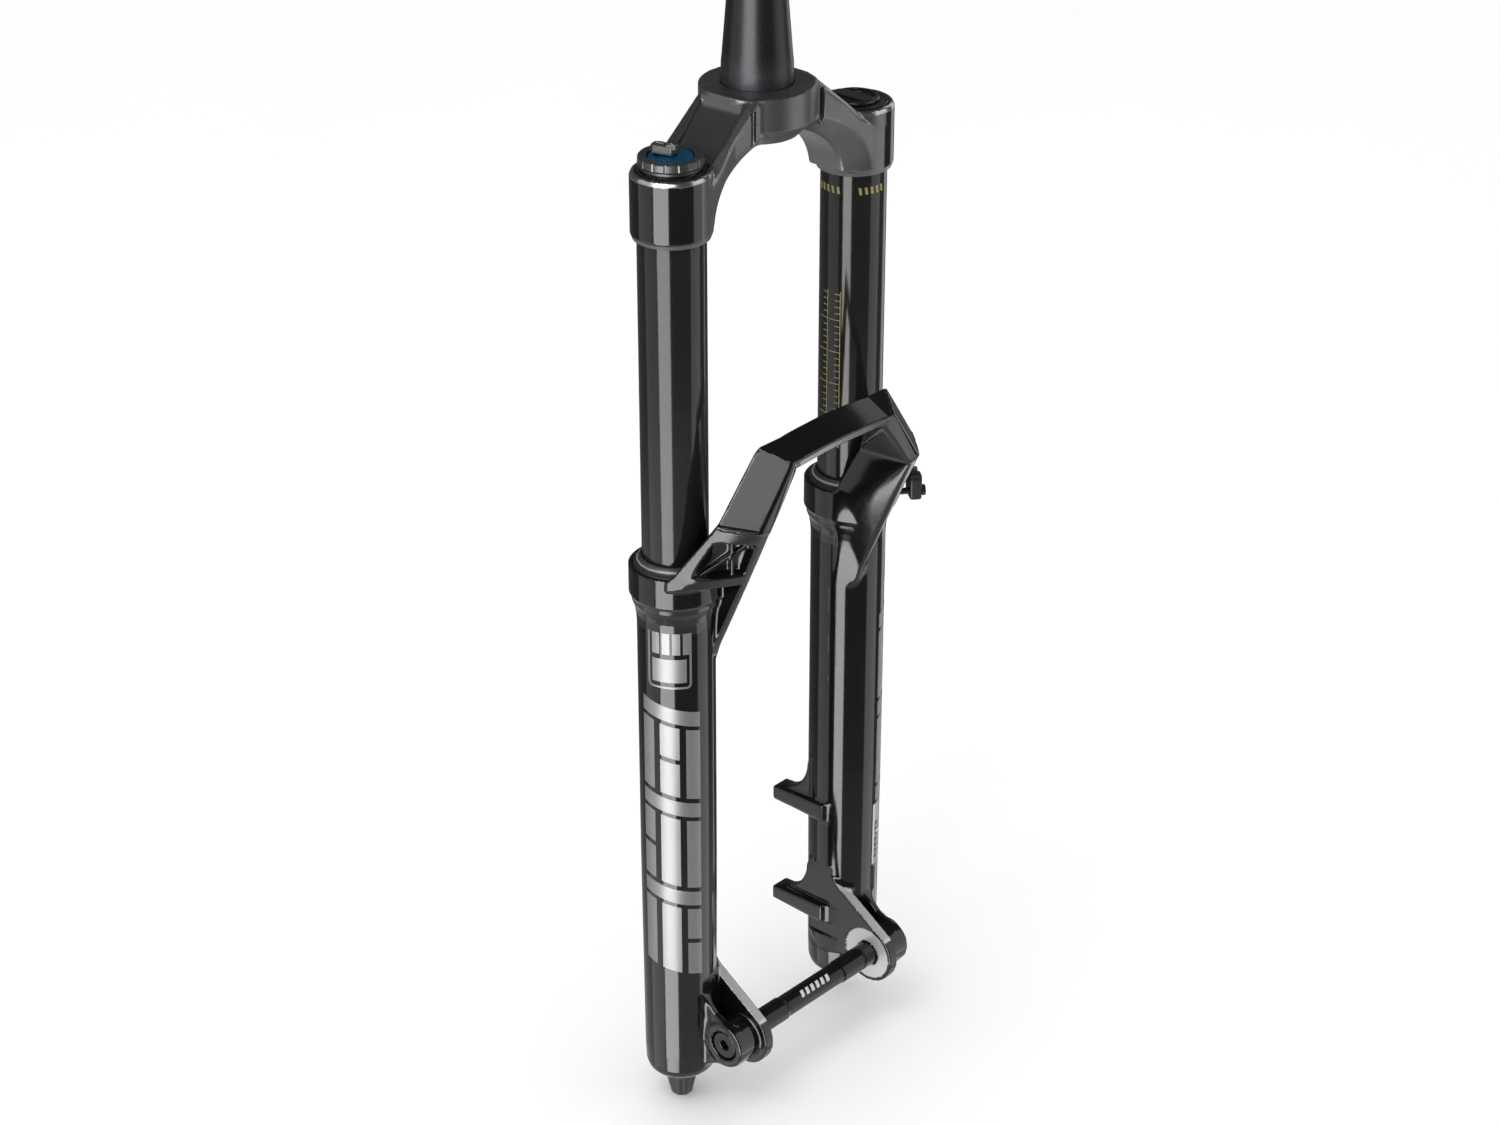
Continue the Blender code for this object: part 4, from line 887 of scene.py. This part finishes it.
def make_axle():
    """Axle from head to thread, with a hex socket, a waist and machined steps."""
    head, tip = AXLE_LOW[0], AXLE_HIGH[0]
    axle_r, head_r, waist = 7.5, 9.2, 26
    outline = [
        (AWAY, head), (head_r - 0.9, head), (head_r, head + 0.9), (head_r, head + 5.8),
        (axle_r, head + 5.8), (axle_r, -waist - 0.3), (axle_r - 0.35, -waist),
        (axle_r - 0.6, -waist + 1), (axle_r - 0.6, waist - 1), (axle_r, waist),
        (axle_r, tip - 19), (axle_r - 0.4, tip - 18.6), (axle_r - 0.4, tip - 1.4),
        (axle_r - 1.2, tip), (AWAY, tip),
    ]

    def field(p):
        y, z = p[:, 1] - AXLE_Y, p[:, 2] - AXLE_Z
        radius = np.hypot(y, z)
        rod = to_outline(radius, p[:, 0], outline)
        angle = np.arctan2(z, y) % (math.pi / 3) - math.pi / 6
        hexagon = np.maximum(radius * np.cos(angle) - 3, p[:, 0] - head - 4.5)
        lead_in = radius - 3.6 + (p[:, 0] - head)
        thread_turn = (p[:, 0] / 1.5 - np.arctan2(z, y) / (2 * math.pi)) % 1
        thread = np.where(p[:, 0] > tip - 18, 0.16 * np.abs(thread_turn - 0.5), 0)
        return cut(rod + thread, np.minimum(hexagon, lead_in * 0.7), 0.25)

    low, high = box_mm("thru_axle")
    fine = 0.55
    x_axis = grid((low[0] - 1, fine), (low[0] + 10, 1.2), (tip - 20, fine), high[0] + 1)
    axes = [x_axis] + [grid((low[n] - 1, fine), high[n] + 1) for n in (1, 2)]
    stand_for(implicit_object("axle", field, axes), "axle", "thru_axle", "axle", "thru_axle")


def make_hose_guide():
    """Moulded clip: a rounded block with the hose's channel and a seat for the bolt's head."""
    middle = (88.5, -44.5, -257)

    def field(p):
        u, v = along_and_across(p[:, 0] - middle[0], p[:, 1] - middle[1], -39)
        w = p[:, 2] - middle[2]
        block = rounded_max((np.abs(u - 0.3) - 3.7, np.abs(v - 0.2) - 7.4, np.abs(w + 3) - 8), 0.6)
        channel = np.hypot(u - 3.6, v - 3.4) - 3.1
        bolt = np.hypot(v + 3.5, w + 6)
        seat = np.maximum(bolt - 3.6, 3.4 - u)
        waist = np.hypot(v + 10.2, w - 6) - 5
        openings = np.minimum(np.minimum(channel, waist), np.minimum(bolt - 2.3, seat))
        return cut(block, openings, 0.6)

    small_piece("hose_guide", "brake_hose_guide", field, 0.5, "plastic", "lowers", "black_plastic")


# ---- generic graphics

def leg_radius(z):
    return np.interp(z, (-590, -455), (21.6, 22.4))


def plates(name, look, body, slot, quads, place, height=0.16):
    """Thin printed plates: each a four-cornered outline in (along, up), bent onto a surface by place."""
    vertices, faces = [], []
    for quad in quads:
        (a, b, c, d) = (np.array(corner, float) for corner in quad)
        steps = max(1, int(np.linalg.norm(b - a) // 1.5))
        start = len(vertices)
        for level in (-0.05, height):
            for step in range(steps + 1):
                share = step / steps
                for point in (a + (b - a) * share, d + (c - d) * share):
                    vertices.append(place(point[0], point[1], level))
        row = 2 * (steps + 1)
        for step in range(steps):
            k = start + 2 * step
            low, up = (k, k + 2, k + 3, k + 1), (k + row, k + row + 2, k + row + 3, k + row + 1)
            faces += [low[::-1], up]
            faces.append((k + 2, k + row + 2, k + row, k))
            faces.append((k + row + 1, k + row + 3, k + 3, k + 1))
        end = start + 2 * steps
        faces.append((start, start + 1, start + row + 1, start + row))
        faces.append((end, end + row, end + row + 1, end + 1))
    stand_for(faceted_object(name, vertices, faces, 40), look, body, slot)


def on_leg(side, middle_angle, radius_at):
    """Bends (along the arc, height) onto a leg; along runs to the front on both legs."""
    def place(along, up, level):
        radius = radius_at(up)
        angle = math.radians(middle_angle) + side * -1 * along / radius
        reach = radius + level
        return side * LEG_X + reach * math.cos(angle), LEG_Y + reach * math.sin(angle), up
    return place


def rectangle(left, right, low, high):
    return [(left, low), (right, low), (right, high), (left, high)]


def slanted(along, width, top, bottom, slant=9.0):
    """A four-cornered block whose ends fall towards the front."""
    drop = slant * width / 36
    shift = -slant * (along + 18) / 36
    return [
        (along, bottom + shift), (along + width, bottom + shift - drop),
        (along + width, top + shift - drop), (along, top + shift),
    ]


def rounded_frame(half_width, top, bottom, thick, corner=3.0):
    """A frame of thin quads with rounded corners."""
    middle = (top + bottom) / 2
    half_height = (top - bottom) / 2

    def loop(inset):
        points = []
        for cx, cy, start in ((1, 1, 0), (-1, 1, 90), (-1, -1, 180), (1, -1, 270)):
            centre = (cx * (half_width - corner), middle + cy * (half_height - corner))
            points += arc_points(centre, corner - inset, start, start + 90, 4)
        return points

    outer, inner = loop(0), loop(thick)
    count = len(outer)
    return [(outer[i], outer[(i + 1) % count], inner[(i + 1) % count], inner[i]) for i in range(count)]


def make_leg_graphics(side, angle):
    place = on_leg(side, angle, leg_radius)
    half, badge_top, badge_bottom = 13.2, -292, -333
    badge = rounded_frame(half, badge_top, badge_bottom, 1.3)
    gap, bar, margin = 1.5, 4.6, 3
    for index in range(4):
        left = -half + margin + index * (bar + gap)
        badge.append(rectangle(left, left + bar, badge_top - 19, badge_top - 4))
    badge.append(rectangle(-half + margin, half - margin, badge_bottom + 4, badge_top - 22))
    plates(f"badge_{SIDES[side]}", "silver", "lowers", "casting", badge, place)
    blocks = []
    columns = ((-18.2, 8.4), (-6.0, 11.6), (9.4, 8.8))
    length, cross, break_at = 58, 9.5, 21
    for index, top in enumerate((-341, -402, -463)):
        blocks.append(slanted(-18.2, 36.4, top, top - cross))
        start, end = top - cross - 2.6, top - length
        for column, (left, width) in enumerate(columns):
            if (column + index) % 3 == 1:
                blocks.append(slanted(left, width, start, start - break_at))
                blocks.append(slanted(left, width, start - break_at - 3, end))
            else:
                blocks.append(slanted(left, width, start, end))
    plates(f"leg_graphic_{SIDES[side]}", "silver", "lowers", "casting", blocks, place)


def make_small_graphics():
    label_place = on_leg(BRAKE, -74, leg_radius)
    label = [rectangle(-4, 4, -528, -484)]
    plates("label_brake_side", "pale", "lowers", "casting", label, label_place)
    dark = [rectangle(-1.6, 1.6, z, z + 2.6) for z in range(-524, -496, 4)]
    plates("label_marks", "cap", "lowers", "casting", dark, label_place, 0.24)

    thin = 0.06

    def on_stanchion(name, angle, quads):
        place = on_leg(BRAKE, angle, lambda _: STANCHION_R)
        plates(name, "gold", "upper_assembly", "stanchion", quads, place, thin)

    scale = []
    for index, z in enumerate(range(-236, -136, 4)):
        reach = 3.5 if index % 5 else 7
        scale.append(rectangle(0, reach, z, z + 0.5))
    scale.append(rectangle(-0.3, 0.2, -236.5, -138))
    for index, angle in enumerate((-186, -160)):
        on_stanchion(f"travel_scale_{index + 1}", angle, scale)
    low, high = -78.6, -74.4
    dashes = [[(s, low), (s + 1.7, low), (s + 2.3, high), (s + 0.6, high)] for s in np.arange(-9, 9, 3.6)]
    for index, angle in enumerate((-190, -108)):
        on_stanchion(f"stanchion_marks_{index + 1}", angle, dashes)
    small_print = ((-5, -352, 30), (-5, -380, 22), (0, -345, 18), (0, -372, 12), (0, -392, 4))
    lines = [rectangle(s, s + 0.4, z, z + length) for s, z, length in small_print]
    plates("small_print_lines", "faint", "lowers", "casting", lines, on_leg(BRAKE, -168, leg_radius))

    def axle_place(along, up, level):
        radius = 6.9 + level
        angle = math.radians(128) - up / radius
        return along, AXLE_Y + radius * math.cos(angle), AXLE_Z + radius * math.sin(angle)

    bars = [[(s + 2.6, -2.2), (s + 3.8, 2.2), (s + 1.2, 2.2), (s, -2.2)] for s in np.arange(-13, 12, 4.6)]
    plates("axle_marks", "pale", "thru_axle", "axle", bars, axle_place, thin)


# ---- camera, light, floor

def make_camera():
    data = bpy.data.cameras.new("camera")
    data.lens, data.sensor_width = 76.574, 36
    data.clip_start, data.clip_end = 0.05, 50
    camera = linked("camera", data)
    camera.location = (-1.2306, -1.1103, 0.5616)
    camera.rotation_euler = [math.radians(a) for a in (62.6888, 0, -47.8046)]
    bpy.context.scene.camera = camera


LIGHT_CENTRE = Vector((0, 0, -0.2))
# brightness of the room in reflections, from straight below (-1) to straight above (1)
MIRRORED_ROOM = ((-1, 0.8), (1, 0.04), (-0.6, 0.6), (-0.5, 0.11), (0, 0.1), (0.5, 0.07))


def card(name, azimuth, elevation, distance, width, height, strength, diffuse=False, mirrored=True,
         middle_z=None):
    """An area light facing the fork, given by the direction it stands in."""
    data = bpy.data.lights.new(name, "AREA")
    data.shape, data.size, data.size_y = "RECTANGLE", width, height
    data.energy = strength * math.pi * width * height  # strength is close to the card's own brightness
    light = linked(name, data)
    a, e = math.radians(azimuth), math.radians(elevation)
    direction = Vector((math.cos(e) * math.cos(a), math.cos(e) * math.sin(a), math.sin(e)))
    light.location = LIGHT_CENTRE + direction * distance
    if middle_z is not None:
        light.location.z = middle_z
        direction.z = 0
    light.rotation_euler = direction.to_track_quat("Z", "Y").to_euler()
    light.visible_camera = False
    light.visible_diffuse = diffuse
    light.visible_glossy = mirrored


def arc_card(name, start, end, strength, distance=2.6, height=5.0):
    """An upright strip between two azimuths."""
    width = 2 * distance * math.tan(math.radians(abs(end - start)) / 2)
    card(name, (start + end) / 2, 0, distance, width, height, strength, middle_z=-0.4)


def make_light():
    arc_card("strip_left_front", -186, -145, 7.0)
    arc_card("strip_left_rear", -236, -190, 0.75)
    arc_card("strip_right_front", -74, -34, 1.2)
    arc_card("strip_right_rear", -8, 14, 0.9)
    card("front_panel", -136, 27, 2.8, 0.9, 0.7, 3.2)
    card("key", -170, 55, 2.6, 1.2, 1.2, 3.0, diffuse=True, mirrored=False)
    world = bpy.data.worlds.new("studio")
    bpy.context.scene.world = world
    world.use_nodes = True
    tree = world.node_tree
    tree.nodes.clear()
    path = add_node(tree, "LightPath")
    direction = add_node(tree, "TexCoord").outputs["Generated"]
    up = add_node(tree, "SeparateXYZ", {0: direction})
    share = add_node(tree, "MapRange", {"Value": up.outputs[2], "From Min": -1, "From Max": 1})
    ramp = add_node(tree, "ValToRGB", {"Fac": share.outputs[0]})
    stops = ramp.color_ramp.elements
    for index, (height, level) in enumerate(MIRRORED_ROOM):
        stop = stops[index] if index < 2 else stops.new((height + 1) / 2)
        stop.color = (level, level, level, 1)
    room = add_node(tree, "Background", {"Color": (1, 1, 1, 1), "Strength": 1.03})
    mirrored_room = add_node(tree, "Background", {"Color": ramp.outputs[0], "Strength": 1})
    shares = {0: path.outputs["Is Glossy Ray"], 1: room.outputs[0], 2: mirrored_room.outputs[0]}
    mixed = add_node(tree, "MixShader", shares)
    add_node(tree, "OutputWorld", {"Surface": mixed.outputs[0]})
    bpy.context.scene.view_settings.view_transform = "Standard"


def make_floor():
    size = 6.0
    mesh = bpy.data.meshes.new("floor")
    corners = ((-size, -size), (size, -size), (size, size), (-size, size))
    mesh.from_pydata([(x, y, FLOOR_Z) for x, y in corners], [], [(0, 1, 2, 3)])
    floor = linked("floor", mesh)
    mesh.materials.append(painted("pale_floor", look_of(0.93, 0.96, (0.85, 0.95), patch=3)))
    floor.visible_glossy = False
    floor.visible_shadow = False


# ---- assembly

def dress_frame_nodes():
    """The CAD pieces that stay are mostly inside; each gets a material of what it is made of."""
    for name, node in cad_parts.items():
        if not node.hide_render:
            found = [look for word, look in KEPT_NODE_LOOKS.items() if word in name]
            dress(node, found[0] if found else "bright")


def main():
    make_crown()
    make_steerer()
    make_high_speed_dial()
    make_low_speed_dial()
    make_lever()
    make_air_cap()
    for side in (DRIVE, BRAKE):
        make_stanchion(side)
        make_wiper_seal(side)
        make_top_cap(side)
    make_casting()
    make_knob()
    make_axle()
    make_hose_guide()
    make_leg_graphics(DRIVE, -148)
    make_leg_graphics(BRAKE, -32)
    make_small_graphics()
    dress_frame_nodes()
    make_camera()
    make_light()
    make_floor()


main()
